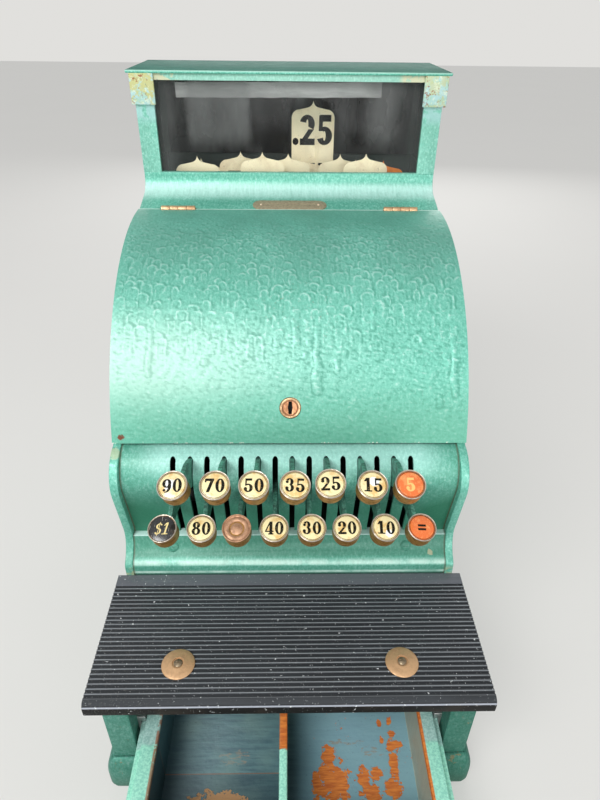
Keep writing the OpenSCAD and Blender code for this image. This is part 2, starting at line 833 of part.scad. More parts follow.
module tab(i) {
    lift = i == raised_tab ? tab_rise(i) : 0;
    tip_z = frame_z + TAB_TIP[i] * tip_l + lift;
    foot_z = rod_foot + lift;
    x = key_x(i);
    y = tab_y(i);
    color(i == last_key ? "#e07a30" : "#efe3bd") cabinet_frame() {
        translate([bank_x + TAB_AT[i] * key_pitch, y + tab_t / 2, tip_z]) rotate([90, 0, 0])
            linear_extrude(tab_t) polygon(concat(tab_side(), mirrored(tab_side())));
        bar([x - rod_w / 2, x + rod_w / 2], [y - rod_t / 2, y + rod_t / 2],
            [foot_z, tip_z - tab_h + rod_lap]);
    }
}

module indicator_guides() {
    y = [row_y - guide_margin, row_y + max(TAB_ROW) * row_pitch + guide_margin];
    color("#6f7275") cabinet_frame() {
        for (z = guide_z) difference() {
            bar([-inner_x, inner_x], y, [z, z + guide_t]);
            for (i = [0:last_key]) translate([key_x(i), tab_y(i), z])
                cube([rod_w + 2 * rod_gap, rod_t + 2 * rod_gap, 3 * guide_t], center = true);
        }
        bar([-inner_x, inner_x], [y[0] - rest_bar[0] - 1, y[0] - 1],
            [bar_z - rest_gap - rest_bar[1], bar_z - rest_gap]);
    }
}

module bell() {
    floor_z = -shelf_t + cab_floor_t;
    color("#c9a25a") cabinet_frame() translate([0, bell_y, floor_z]) {
        cylinder(r = bell_post[0], h = bell_post[1]);
        translate([0, 0, bell_lift]) rotate_extrude() difference() {
            intersection() {
                circle(r = bell_r);
                square(bell_r);
            }
            circle(r = bell_r - bell_t);
            square([bell_post[0] + run_gap, bell_r]);
        }
    }
}

/* ---- Drawer ---- */

module drawer_box() {
    inner = drawer_x - drawer_wall;
    back_y = drawer_y + drawer_l;
    tray_end = drawer_y + tray_l;
    color("#6fb8a0") {
        difference() {
            bar([-drawer_x, drawer_x], [drawer_y, back_y], [drawer_z, drawer_top]);
            bar([-inner, inner], [drawer_y - 1, back_y - drawer_wall],
                [drawer_z + drawer_floor, drawer_top + 1]);
        }
        bar([-divider_x - divider_t / 2, -divider_x + divider_t / 2],
            [tray_end, back_y - drawer_wall], [drawer_z + drawer_floor, drawer_top - divider_drop]);
        both_sides() bar([drawer_x, drawer_x + rail_w], [drawer_y + 1, back_y],
                         [drawer_top - rail_top - rail_h, drawer_top - rail_top]);
    }
}

module drawer_front() {
    x = bay_x - board_gap;
    top = base_h - board_gap;
    color("mediumaquamarine") {
        bar([-x, x], [drawer_y - front_t + bead_t, drawer_y], [drawer_z - board_gap, top]);
        bar([bead_in - x, x - bead_in], [drawer_y - front_t, drawer_y - front_t + bead_t],
            [drawer_z + bead_in, top - bead_in]);
    }
}

module coin_tray() {
    inner = drawer_x - drawer_wall;
    top = drawer_top - tray_drop;
    floor_z = drawer_z + drawer_floor;
    cup_w = (2 * inner - (cups + 1) * cup_web) / cups;
    cup_r = (tray_l - 2 * cup_web) / 2;
    color("#6fb8a0") difference() {
        bar([-inner, inner], [drawer_y, drawer_y + tray_l], [floor_z, top]);
        for (k = [0:cups - 1])
            translate([-inner + cup_web + k * (cup_w + cup_web), drawer_y + tray_l / 2, top + 1])
                rotate([0, 90, 0]) cylinder(r = cup_r, h = cup_w);
    }
}

base_floor();
base_walls();
foot_moulding();
drawer_runners();
shelf_plate();
shelf_medallions();
panel_screws();
left_cheek();
right_cheek();
cabinet_floor();
back_panel();
key_panel();
lower_strip();
neck();
window_frame();
corner_caps();
top_cover();
window_glass();
nameplate();
fixed_hinge_leaves();
key_shaft();
indicator_guides();
bell();
lid();
lid_hinge_leaves();
lock_barrel();
lock_plug();
drawer_box();
drawer_front();
coin_tray();
for (i = [0:last_key]) key(i);
for (i = [0:last_key]) tab(i);
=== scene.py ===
"""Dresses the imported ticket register: paint, brass, keys, figures, glass and a stage."""

import json
import math
import random

import bmesh
import bpy
from bpy.props import FloatProperty, FloatVectorProperty, IntProperty, PointerProperty
from mathutils import Matrix, Vector, noise

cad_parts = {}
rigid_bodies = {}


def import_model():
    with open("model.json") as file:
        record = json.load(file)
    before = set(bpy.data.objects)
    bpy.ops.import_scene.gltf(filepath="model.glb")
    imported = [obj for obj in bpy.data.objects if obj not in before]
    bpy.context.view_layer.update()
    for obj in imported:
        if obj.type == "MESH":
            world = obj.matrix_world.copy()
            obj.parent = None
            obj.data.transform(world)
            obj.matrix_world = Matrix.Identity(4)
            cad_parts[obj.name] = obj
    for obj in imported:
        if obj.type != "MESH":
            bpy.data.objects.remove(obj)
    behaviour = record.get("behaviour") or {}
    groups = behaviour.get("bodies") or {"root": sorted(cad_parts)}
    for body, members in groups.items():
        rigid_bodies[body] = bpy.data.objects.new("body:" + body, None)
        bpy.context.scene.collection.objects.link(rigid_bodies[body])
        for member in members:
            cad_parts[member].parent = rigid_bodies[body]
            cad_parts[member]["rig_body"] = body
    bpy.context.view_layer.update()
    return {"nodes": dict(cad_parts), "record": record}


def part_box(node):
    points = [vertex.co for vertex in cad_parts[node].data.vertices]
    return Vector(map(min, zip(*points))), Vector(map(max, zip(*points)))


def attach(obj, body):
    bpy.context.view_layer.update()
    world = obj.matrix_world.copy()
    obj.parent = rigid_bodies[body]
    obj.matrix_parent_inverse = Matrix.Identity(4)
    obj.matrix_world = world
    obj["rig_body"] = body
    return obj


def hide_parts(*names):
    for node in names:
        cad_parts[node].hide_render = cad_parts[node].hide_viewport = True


bl_info = {
    "name": "Ticket register",
    "version": (1, 0, 0),
    "blender": (4, 5, 0),
    "location": "View3D > Sidebar > Register",
    "description": "Gives a packed ticket register its paint, brass, keys, figures and glass",
    "category": "Object",
}

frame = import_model()
SLOTS = {part["node"]: part["material_slot"] for part in frame["record"]["subparts"]}
MM = 0.001

# Cabinet places in the row frame: its front plane and the shelf's top
FRONT_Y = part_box("shelf_plate")[1].y
SHELF_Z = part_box("shelf_plate")[1].z
KEY_NAMES = ["dollar", "90", "80", "70", "60", "50", "40", "35", "30", "25", "20", "15", "10", "5",
             "no_sale"]
LOWER_ROW = ["dollar", "80", "60", "40", "30", "20", "10", "no_sale"]
# How far use has pushed a key's cup sideways and upwards on its stem, in millimetres
KEY_PUSH = {"90": (-1.3, 0), "35": (0.9, 0), "25": (-0.4, 1.2), "15": (0.9, 0), "5": (0.5, 0.2),
            "dollar": (-0.9, 0), "60": (-0.5, 0), "30": (0.5, 0), "10": (1.0, 0),
            "no_sale": (1.0, 0)}
BLANK_KEY = "60"

# The hood's cut-outs, in millimetres: the hinges' distance from the middle, half the width and the
# depth of their notches, and the radius of the lock's hole
HINGE_X, HINGE_HALF, HINGE_DEEP = 94, 14.9, 3.1
LOCK_HOLE = 7.75
# Drips down the hood's front: across, along, half width and length, in millimetres
DRIPS = ((-100, 172, 2.4, 46), (19, 184, 2.7, 62), (117, 186, 2.4, 60), (106, 194, 2.3, 6),
         (-60, 164, 2.2, 8), (33, 170, 2.3, 14), (4, 150, 2.2, 34), (60, 128, 2.4, 8))

# The stage, in metres and watts: each lamp's name, place, size and power, and what they aim at
LAMPS = (("key_light", (-0.75, -1.15, 1.55), (1.1, 0.8), 30),
         ("fill_light", (0.5, -1.7, 0.55), (1.6, 1.0), 15),
         ("rear_light", (0.2, 1.7, 0.75), (1.4, 0.8), 11))
AIM = (0, 0, 0.25)
ROOM, ROOM_GLOW = "e8edf0", 0.4
BACKDROP, BACKDROP_GLOW = "e6e5e2", 0.95
# The camera: its place in metres, its turns in degrees, its lens and sensor in millimetres
CAMERA_PLACE = (-0.00158, -0.4310, 0.4967)
CAMERA_DOWN, CAMERA_SIDE, CAMERA_ROLL = 33.67, -1.38, 0.73
LENS, SENSOR = 26.99, 36.0


def linear(hexes):
    """A colour written as six hexadecimal digits, as linear red, green, blue and alpha."""
    parts = [int(hexes[k:k + 2], 16) / 255 for k in (0, 2, 4)]
    return (*(c / 12.92 if c <= 0.04045 else ((c + 0.055) / 1.055) ** 2.4 for c in parts), 1.0)


def clamp(value, low=0, high=1):
    return min(high, max(low, value))


def colour(title, text, hexes):
    return FloatVectorProperty(name=title, description=text, default=linear(hexes)[:3],
                               subtype="COLOR", size=3, min=0.0, max=1.0)


def length(title, text, millimetres, low=0.0, high=500.0):
    return FloatProperty(name=title, description=text, default=millimetres * MM, min=low * MM,
                         max=high * MM, unit="LENGTH", subtype="DISTANCE")


class PaintSettings(bpy.types.PropertyGroup):
    """Colours of the painted and bare surfaces."""

    deep: colour("Deep green", "The enamel between its flakes", "388a72")
    mid: colour("Sea green", "The enamel's main colour", "70bfab")
    # The bright flake is also the colour of painted highlights on run crests and the strip's edge
    light: colour("Bright flake", "The enamel's brightest flakes", "dcf7f2")
    brass: colour("Brass", "Aged brass where it is clean", "c79a62")
    black: colour("Shelf black", "The shelf's satin black", "2b2d30")
    cream: colour("Cream", "The cream key faces", "efdeaa")
    orange: colour("Orange", "The orange key faces", "e06f33")


class HoodSettings(bpy.types.PropertyGroup):
    """The hood's shape and the run marks in its paint."""

    radius: length("Radius", "Outer radius of the hood", 172.5, 160, 180)
    axis_y: length("Axis depth", "Depth of the hood's centre line behind the front plane", 190)
    axis_z: length("Axis height", "Height of the hood's centre line over the shelf", 53)
    sheet: length("Sheet", "Thickness of the hood's sheet", 2.2, 1, 4)
    paint: length("Paint", "Thickness of the paint on the sheet", 0.15, 0, 1)
    ridge: length("Run ridge", "Height of a run's rim", 0.55, 0, 1)
    lock_up: length("Lock height", "Distance of the lock from the hood's lower edge", 25.7, 22, 32)
    step: length("Mesh step", "Size of the hood's mesh faces", 0.86, 0.8, 4)
    seed: IntProperty(name="Seed", description="Picks another set of run marks", default=7)


class KeySettings(bpy.types.PropertyGroup):
    """The round keys and their figures."""

    radius: length("Key radius", "Outer radius of a key's rim", 9.75, 8, 12)
    cup: length("Cup depth", "Depth of a key's cup", 11, 6, 12)
    rim: length("Rim", "Thickness of the rim", 0.8, 0.6, 2)
    tilt: FloatProperty(name="Tilt", description="Tilt of the keys' faces from the level",
                        default=math.radians(28), unit="ROTATION", subtype="ANGLE")
    figure: length("Figure height", "Height of a key's figures", 9.0, 5, 12)


class RegisterSettings(bpy.types.PropertyGroup):
    """All settings of the register."""

    paint: PointerProperty(type=PaintSettings, name="Paint", description="Colours")
    hood: PointerProperty(type=HoodSettings, name="Hood", description="Hood and run marks")
    keys: PointerProperty(type=KeySettings, name="Keys", description="Keys and figures")


def settings():
    return bpy.context.scene.ticket_register


# ---- Materials ----

class Socket:
    """A number that a node gives, for use in Python expressions."""

    def __init__(self, owner, out):
        self.owner = owner
        self.out = out

    def _maths(self, operation, first, second=0.0):
        return self.owner.node("ShaderNodeMath", {"operation": operation}, {0: first, 1: second})

    def __add__(self, other):
        return self._maths("ADD", self, other)

    def __sub__(self, other):
        return self._maths("SUBTRACT", self, other)

    def __rsub__(self, other):
        return self._maths("SUBTRACT", other, self)

    def __mul__(self, other):
        return self._maths("MULTIPLY", self, other)

    def __truediv__(self, other):
        return self._maths("DIVIDE", self, other)

    def __rtruediv__(self, other):
        return self._maths("DIVIDE", other, self)

    def __abs__(self):
        return self._maths("ABSOLUTE", self)

    def __or__(self, other):
        """The larger of two masks."""
        return self._maths("MAXIMUM", self, other)

    def fraction(self):
        return self._maths("FRACT", self)

    __radd__ = __add__
    __rmul__ = __mul__


class Tree:
    """Fills the node tree of a material or a world."""

    def __init__(self, data):
        data.use_nodes = True
        self.tree = data.node_tree
        self.tree.nodes.clear()

    def node(self, kind, setup=None, inputs=None, out=0):
        """Adds a node with its settings and its sockets' values or links, and gives an output."""
        made = self.tree.nodes.new(kind)
        for key, value in (setup or {}).items():
            setattr(made, key, value)
        for key, value in (inputs or {}).items():
            if isinstance(value, Socket):
                self.tree.links.new(value.out, made.inputs[key])
            else:
                made.inputs[key].default_value = value
        return Socket(self, made.outputs[out]) if made.outputs else None

    def looked_at(self):
        """1 for rays that show a surface straight, mirrored or through glass, and 0 for others."""
        camera, mirror, through = (
            self.node("ShaderNodeLightPath", out=k)
            for k in ("Is Camera Ray", "Is Glossy Ray", "Is Transmission Ray"))
        return camera | mirror | through


class Finish(Tree):
    """Builds the node tree of one material."""

    def __init__(self, name):
        self.material = bpy.data.materials.new(name)
        super().__init__(self.material)
        self.place = self.node("ShaderNodeTexCoord", out="Object")
        self.x, self.y, self.z = (self.node("ShaderNodeSeparateXYZ", {}, {0: self.place}, out=k)
                                  for k in range(3))

    def mix(self, factor, first, second):
        """Blends two colours. A colour may be written as six hexadecimal digits."""
        first, second = (linear(c) if isinstance(c, str) else c for c in (first, second))
        return self.node("ShaderNodeMix", {"data_type": "RGBA"},
                         {0: factor, 6: first, 7: second}, out=2)

    def stretched(self, factors, offset=(0, 0, 0)):
        """Object coordinates scaled along each axis."""
        return self.node("ShaderNodeMapping", {}, {"Vector": self.place, "Scale": factors,
                                                   "Location": offset})

    def noise(self, scale, detail=2.0, rough=0.5, place=None, warp=0.0):
        return self.node("ShaderNodeTexNoise", {},
                         {"Vector": place or self.place, "Scale": scale, "Detail": detail,
                          "Roughness": rough, "Distortion": warp})

    def streaks(self, factors, detail=3.0, rough=0.6, offset=(0, 0, 0)):
        """Noise drawn out along the axes with the smaller factors."""
        return self.noise(1.0, detail, rough, self.stretched(factors, offset))

    def cracks(self, scale):
        """The distance to the edges of irregular cells."""
        return self.node("ShaderNodeTexVoronoi", {"feature": "DISTANCE_TO_EDGE"},
                         {"Vector": self.place, "Scale": scale})

    def ramp(self, value, low, high):
        """0 below low and 1 above high, with a soft step between them."""
        return self.node("ShaderNodeMapRange", {"interpolation_type": "SMOOTHSTEP"},
                         {"Value": value, "From Min": low, "From Max": high})

    def blots(self, low, high, *noise):
        """Patches where a noise rises from low to high. Its scale, detail and roughness follow."""
        return self.ramp(self.noise(*noise), low, high)

    def fall(self, value, low, high):
        """1 below low and 0 above high."""
        return 1.0 - self.ramp(value, low, high)

    def band(self, value, low, full, last, high):
        """1 from full to last, and 0 below low and above high."""
        return self.ramp(value, low, full) * self.fall(value, last, high)

    def spot(self, centre, radius, ragged=0.35, scale=160.0):
        """A ragged patch round a point, 1 inside and 0 outside."""
        far = self.node("ShaderNodeVectorMath", {"operation": "DISTANCE"},
                        {0: self.place, 1: centre}, out="Value")
        edge = far + (self.noise(scale, 3.0, 0.6) - 0.5) * (2.0 * ragged * radius)
        return self.fall(edge, radius * 0.85, radius * 1.1)

    def patches(self, places, ragged, scale):
        """Ragged patches seen from above, each a centre and two half sizes in millimetres."""
        wobble = (self.noise(scale, 4.0, 0.65) - 0.5) * ragged
        found = 9.0
        for x, y, half_x, half_y in places:
            a, b = half_x * MM, half_y * MM
            near = self.stretched((1 / a, 1 / b, 0), (-x * MM / a, -(FRONT_Y + y * MM) / b, 0))
            far = self.node("ShaderNodeVectorMath", {"operation": "LENGTH"}, {0: near},
                            out="Value")
            found = self.node("ShaderNodeMath", {"operation": "MINIMUM"}, {0: far, 1: found})
        return self.fall(found + wobble, 0.94, 1.02)

    def bump(self, height, distance, strength, normal=None):
        inputs = {"Height": height, "Distance": distance, "Strength": strength}
        if normal:
            inputs["Normal"] = normal
        return self.node("ShaderNodeBump", {}, inputs)

    def surface(self, base, rough, metal, normal, **constants):
        """Ends the tree in a Principled shader. Constants stay on its own sockets."""
        inputs = {"Base Color": base, "Roughness": rough, "Metallic": metal}
        if normal:
            inputs["Normal"] = normal
        inputs.update({key.replace("_", " "): value for key, value in constants.items()})
        shader = self.node("ShaderNodeBsdfPrincipled", {}, inputs)
        self.node("ShaderNodeOutputMaterial", {}, {"Surface": shader})
        return self.material


def rgba(values):
    return (*values, 1.0)


def enamel(name, wear_and_light, shade=1.0, dirt=0.0, grain=1.0, coat=0.25, shine=0.5):
    """Hammered metallic enamel. Its second argument returns (mask, colour) pairs of wear and
    painted light; shade darkens all its colours.
    """
    f = Finish(name)
    paint = settings().paint
    deep, mid, light = ([c * shade for c in getattr(paint, k)] for k in ("deep", "mid", "light"))
    fleck = f.noise(760.0, 3.0, 0.7)
    streak = f.streaks((620.0, 330.0, 330.0), 2.0)
    flake = fleck * 0.5 + streak * 0.5
    tone = f.mix(1.0 - f.fall(flake, 0.36, 0.56) * 0.55 * grain, rgba(deep), rgba(mid))
    tone = f.mix(f.ramp(flake, 0.5, 0.68) * 0.32 * grain, tone, rgba(light))
    tone = f.mix(f.blots(0.35, 0.75, 14.0, 2.0) * 0.3, tone, rgba(deep))
    rough = 0.38 + fleck * 0.2
    if dirt:
        grime = f.blots(0.5, 0.75, 60.0, 4.0, 0.6) * dirt
        tone = f.mix(grime, tone, "3d4a3c")
    metal = 0.25 + f.ramp(fleck, 0.5, 0.7) * 0.2
    # Each pair lays wear, dirt, or painted light and shade over the tone
    for mask, bare in wear_and_light(f):
        tone = f.mix(mask, tone, bare)
        rough = rough + mask * 0.2
        metal = metal * (1.0 - mask)
    peel = f.bump(f.noise(300.0, 2.0, 0.5, warp=0.6), 0.0007, 0.5 * grain)
    return f.surface(tone, rough, metal, f.bump(fleck, 0.0002, 0.45 * grain, peel),
                     Coat_Weight=coat, Coat_Roughness=0.3, Specular_IOR_Level=shine)


def hood_wear_and_light(f):
    """Painted light and shade on the run marks and over the hood; scrapes, rust and chips."""
    y, z = FRONT_Y, SHELF_Z
    # The runs' attribute: a painted highlight on their crests and a painted shadow under them
    flow = f.node("ShaderNodeAttribute", {"attribute_name": "flow"}, out="Fac")
    crest = f.ramp(flow, 0.12, 0.8)
    under = f.fall(flow, -0.75, -0.08)
    # Darker towards the top of the hood, in patches
    top_darkening = f.ramp(f.z, z + 0.18, z + 0.222) * (0.4 + f.blots(0.4, 0.65, 26.0, 3.0) * 0.25)
    # Painted shade over the hood's lower part, a little more to the right
    foot = f.fall(f.z, z + 0.112, z + 0.165) * (0.55 + f.ramp(f.x, -0.1, 0.1) * 0.1)
    # A painted sheen across the hood's middle height, fading to the right
    sheen = f.band(f.z, z + 0.13, z + 0.15, z + 0.165, z + 0.195) * f.fall(f.x, -0.08, 0.12) * 0.2
    # A painted highlight on the hood's left side
    left = f.fall(f.x, -0.11, 0.02) * f.ramp(f.z, z + 0.105, z + 0.15)
    left = left * f.fall(f.z, z + 0.155, z + 0.2)
    scrape = f.blots(0.62, 0.68, 620.0, 4.0, 0.7)
    scrape = scrape * f.spot((0.004, y + 0.075, z + 0.19), 0.032)
    rust = f.spot((-0.1206, y + 0.026, z + 0.1135), 0.003, 0.6, 500.0)
    chips = f.fall(f.z, z + 0.1086, z + 0.1096) * f.blots(0.56, 0.62, 260.0, 4.0, 0.7)
    # A painted highlight along the hood's rear edge
    rear = f.ramp(f.y, y + 0.1952, y + 0.1962)
    return [(sheen, "d6ece4"), (crest * 0.36, rgba(settings().paint.light)),
            (under * 0.6, "348570"), (left * 0.36, "cdeedd"), (foot, "4f9b80"), (top_darkening, "4b8575"),
            (scrape * 0.5, "8f8271"), (rust, "6a3a22"), (chips, "cfd8cc"), (rear * 0.85, "def5ea")]


def unlit(f):
    """Painted shade over the cabinet's inside behind the window, as a mask and its colour."""
    y, z = FRONT_Y, SHELF_Z
    deep = f.band(f.y, y + 0.2384, y + 0.2388, y + 0.3198, y + 0.3204)
    inside = deep * f.fall(abs(f.x), 0.1258, 0.1262) * f.fall(f.z, z + 0.3218, z + 0.3222)
    return inside * 0.94, "2e2f2d"


def casting_wear_and_shade(f):
    """A chip and rust on the left cheek's front, dust at the cheeks' feet, and painted shade low
    on the left and inside the cabinet.
    """
    y, z = FRONT_Y, SHELF_Z
    left = f.spot((-0.1245, y + 0.020, z + 0.105), 0.005, 0.7, 300.0)
    rust = f.spot((-0.1245, y + 0.021, z + 0.109), 0.0028, 0.8, 420.0)
    low = f.fall(f.z, z + 0.004, z + 0.01) * f.blots(0.42, 0.6, 180.0, 3.0)
    specks = f.blots(0.69, 0.72, 300.0, 4.0, 0.75)
    # Painted shade low on the left
    shade = f.fall(f.z, z + 0.02, z + 0.12) * f.fall(f.x, 0.0, 0.1) * 0.35
    return [(shade, "2f7a62"), (left * 0.6, "c2c79f"), (rust, "7c4a2b"),
            (low * 0.5, "b9a878"), (specks * 0.6, "3e5548"), unlit(f)]


def cover_light_and_shade(f):
    """Painted shade over the cover's top and a painted highlight along its front edges."""
    low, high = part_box("top_cover")
    # Painted shade over the top
    top = f.ramp(f.z, high.z - 0.0006, high.z - 0.0001)
    # A painted highlight along the front edges
    edge = f.fall(f.y, low.y + 0.0002, low.y + 0.0009)
    edge = edge * f.ramp(f.z, high.z - 0.0016, high.z - 0.0006)
    return [(top * (0.7 + f.noise(60.0, 3.0) * 0.3), "2d5f53"), (edge * 0.5, "b9d9cb")]


def neck_highlights_and_specks(f):
    """Painted highlights along the neck's front edge and in its bend, and dark specks."""
    z = SHELF_Z
    # A painted highlight along the front edge
    edge = f.fall(f.y, FRONT_Y + 0.199, FRONT_Y + 0.2)
    band_streaks = f.streaks((520.0, 70.0, 70.0))
    # A painted highlight in the bend
    bend = f.band(f.z, z + 0.2275, z + 0.2315, z + 0.2345, z + 0.2405)
    specks = f.blots(0.69, 0.72, 300.0, 4.0, 0.75)
    return [(bend * (0.3 + band_streaks * 0.65), "d0f2eb"), (edge * 0.8, "def5ea"),
            (specks * 0.5, "3e5548")]


def panel_light_and_lines(f):
    """Painted shade at the panel's sides and below the keys, a painted highlight at its top and
    dark lines along its ends.
    """
    z = SHELF_Z
    # Painted shade at the sides and below the keys
    sides = f.ramp(abs(f.x), 0.085, 0.118)
    low = f.fall(f.z, z + 0.05, z + 0.088)
    shade = (sides * 0.3 + low * 0.85) * (0.75 + f.noise(40.0, 3.0) * 0.5)
    line = f.ramp(abs(f.x), 0.1192, 0.1208)
    # A painted highlight along the top
    top = f.ramp(f.z, z + 0.086, z + 0.1) * f.fall(abs(f.x), 0.09, 0.12)
    return [(top * 0.4, "c2ece6"), (shade, "1d6a50"), (line * 0.8, "56503a")]


def strip_light_and_wear(f):
    """Painted highlights along the strip's upper edge and its beads, painted shade on its face,
    worn corners, a darker foot and dark lines along its ends.
    """
    y, z = FRONT_Y, SHELF_Z
    # A painted highlight along the upper edge
    top = f.ramp(f.z, z + 0.0272, z + 0.0281)
    # Painted highlights along the two beads
    low_bead = f.fall(abs(f.z - (z + 0.0022)), 0.0002, 0.0019)
    bead = low_bead | f.fall(abs(f.z - (z + 0.0106)), 0.0002, 0.0026)
    # Painted shade on the face above and below the upper bead
    shade = f.ramp(f.z, z + 0.0115, z + 0.0145) * 0.6 + f.fall(f.z, z + 0.0082, z + 0.0095) * 0.4
    patchy = f.blots(0.3, 0.6, 60.0, 3.0)
    line = f.ramp(abs(f.x), 0.1192, 0.1208)
    right = f.spot((0.1093, y + 0.008, z + 0.0151), 0.0022, 0.8, 300.0)
    left = f.spot((-0.1187, y + 0.008, z + 0.0022), 0.003, 0.7, 300.0)
    foot = f.fall(f.z, z + 0.0002, z + 0.0012)
    return [(shade, "24694f"), (top * 0.6, rgba(settings().paint.light)),
            (bead * (0.2 + patchy * 0.38), "dcf3e8"),
            (foot * 0.7, "35483f"), (line * 0.7, "56503a"),
            (right * 0.6, "cbbf9c"), (left, "f0dcc4")]


def cap_wear(f):
    """Left cap ochre above and pale blue below, right cap pale blue with rust cracks."""
    right = f.ramp(f.x, -0.01, 0.01)
    high = f.ramp(f.z, SHELF_Z + 0.303, SHELF_Z + 0.317)
    blue = f.blots(0.4, 0.5, 150.0, 5.0, 0.7)
    ochre = f.noise(170.0, 5.0, 0.7, f.stretched((1, 1, 1), (3, 1, 2)))
    ochre = f.ramp(ochre + high * 0.12, 0.52, 0.6)
    pale = f.blots(0.55, 0.6, 230.0, 5.0, 0.75)
    crack = f.blots(0.61, 0.64, 420.0, 5.0, 0.8)
    rust = f.noise(170.0, 5.0, 0.75, f.stretched((1, 1, 1), (0, 5, 1)))
    rust = f.ramp(rust + right * 0.03, 0.6, 0.63)
    return [(1.0 - blue * 0.5, "9fbfa9"), (blue * 0.8, "a9c9cc"),
            (ochre * (0.9 - right * 0.3), "b9b677"), (pale * 0.6, "d9dfc4"),
            (rust * 0.9, "8a4a2a"), (crack * 0.5, "4e5a50")]


def frame_wear_and_shade(f):
    """The header's ends and the posts' heads are worn to a pale blue and an ochre undercoat;
    painted shade darkens the cabinet's inside behind the window.
    """
    ends = f.ramp(abs(f.x), 0.088, 0.094)
    high = f.ramp(f.z, SHELF_Z + 0.317, SHELF_Z + 0.318)
    front = f.fall(f.y, FRONT_Y + 0.2349, FRONT_Y + 0.2352)
    ragged = f.blots(0.38, 0.46, 120.0, 4.0, 0.6)
    rust = f.blots(0.62, 0.66, 300.0, 5.0, 0.7)
    post = f.band(f.z, SHELF_Z + 0.283, SHELF_Z + 0.293, SHELF_Z + 0.316, SHELF_Z + 0.317)
    worn = ends * high * front
    return [(worn * ragged, "c4b98a"), (worn * rust, "7a3c22"), (post * ragged * 0.7, "93bfc0"),
            (0.08 + high * 0.2 + ragged * 0.06, "bcd2c6"), unlit(f)]


def base_wear_and_shade(f):
    """The base is chipped, darker along its foot, with painted shade towards its right side."""
    low = f.fall(f.z, 0.004, 0.02)
    chips = f.blots(0.62, 0.66, 140.0, 5.0, 0.7)
    # Painted shade towards the right side
    right = f.ramp(f.x, 0.06, 0.11) * f.ramp(f.y, FRONT_Y - 0.1, FRONT_Y - 0.098)
    return [(right * 0.45, "0f4836"), (low * 0.45, "3f5c4c"), (chips * 0.6, "8b7350")]


# Bare wood on the drawer's floor: centres and half sizes in cabinet millimetres
WORN_FLOOR = ((32, -102, 12.5, 13), (29, -84, 5, 8.5), (20, -105, 4, 9), (55, -101, 4.2, 9),
              (64, -97, 4.4, 6), (60, -111, 8, 7), (80, -77, 6, 4.5), (78.5, -92, 3.4, 13),
              (76, -107, 6.5, 6), (79, -58, 2, 3.6), (71, -59, 1.8, 2.6), (79.5, -67.5, 2.8, 2.4),
              (71.5, -72.5, 1.4, 2.6), (-51, -114, 20, 5.6))


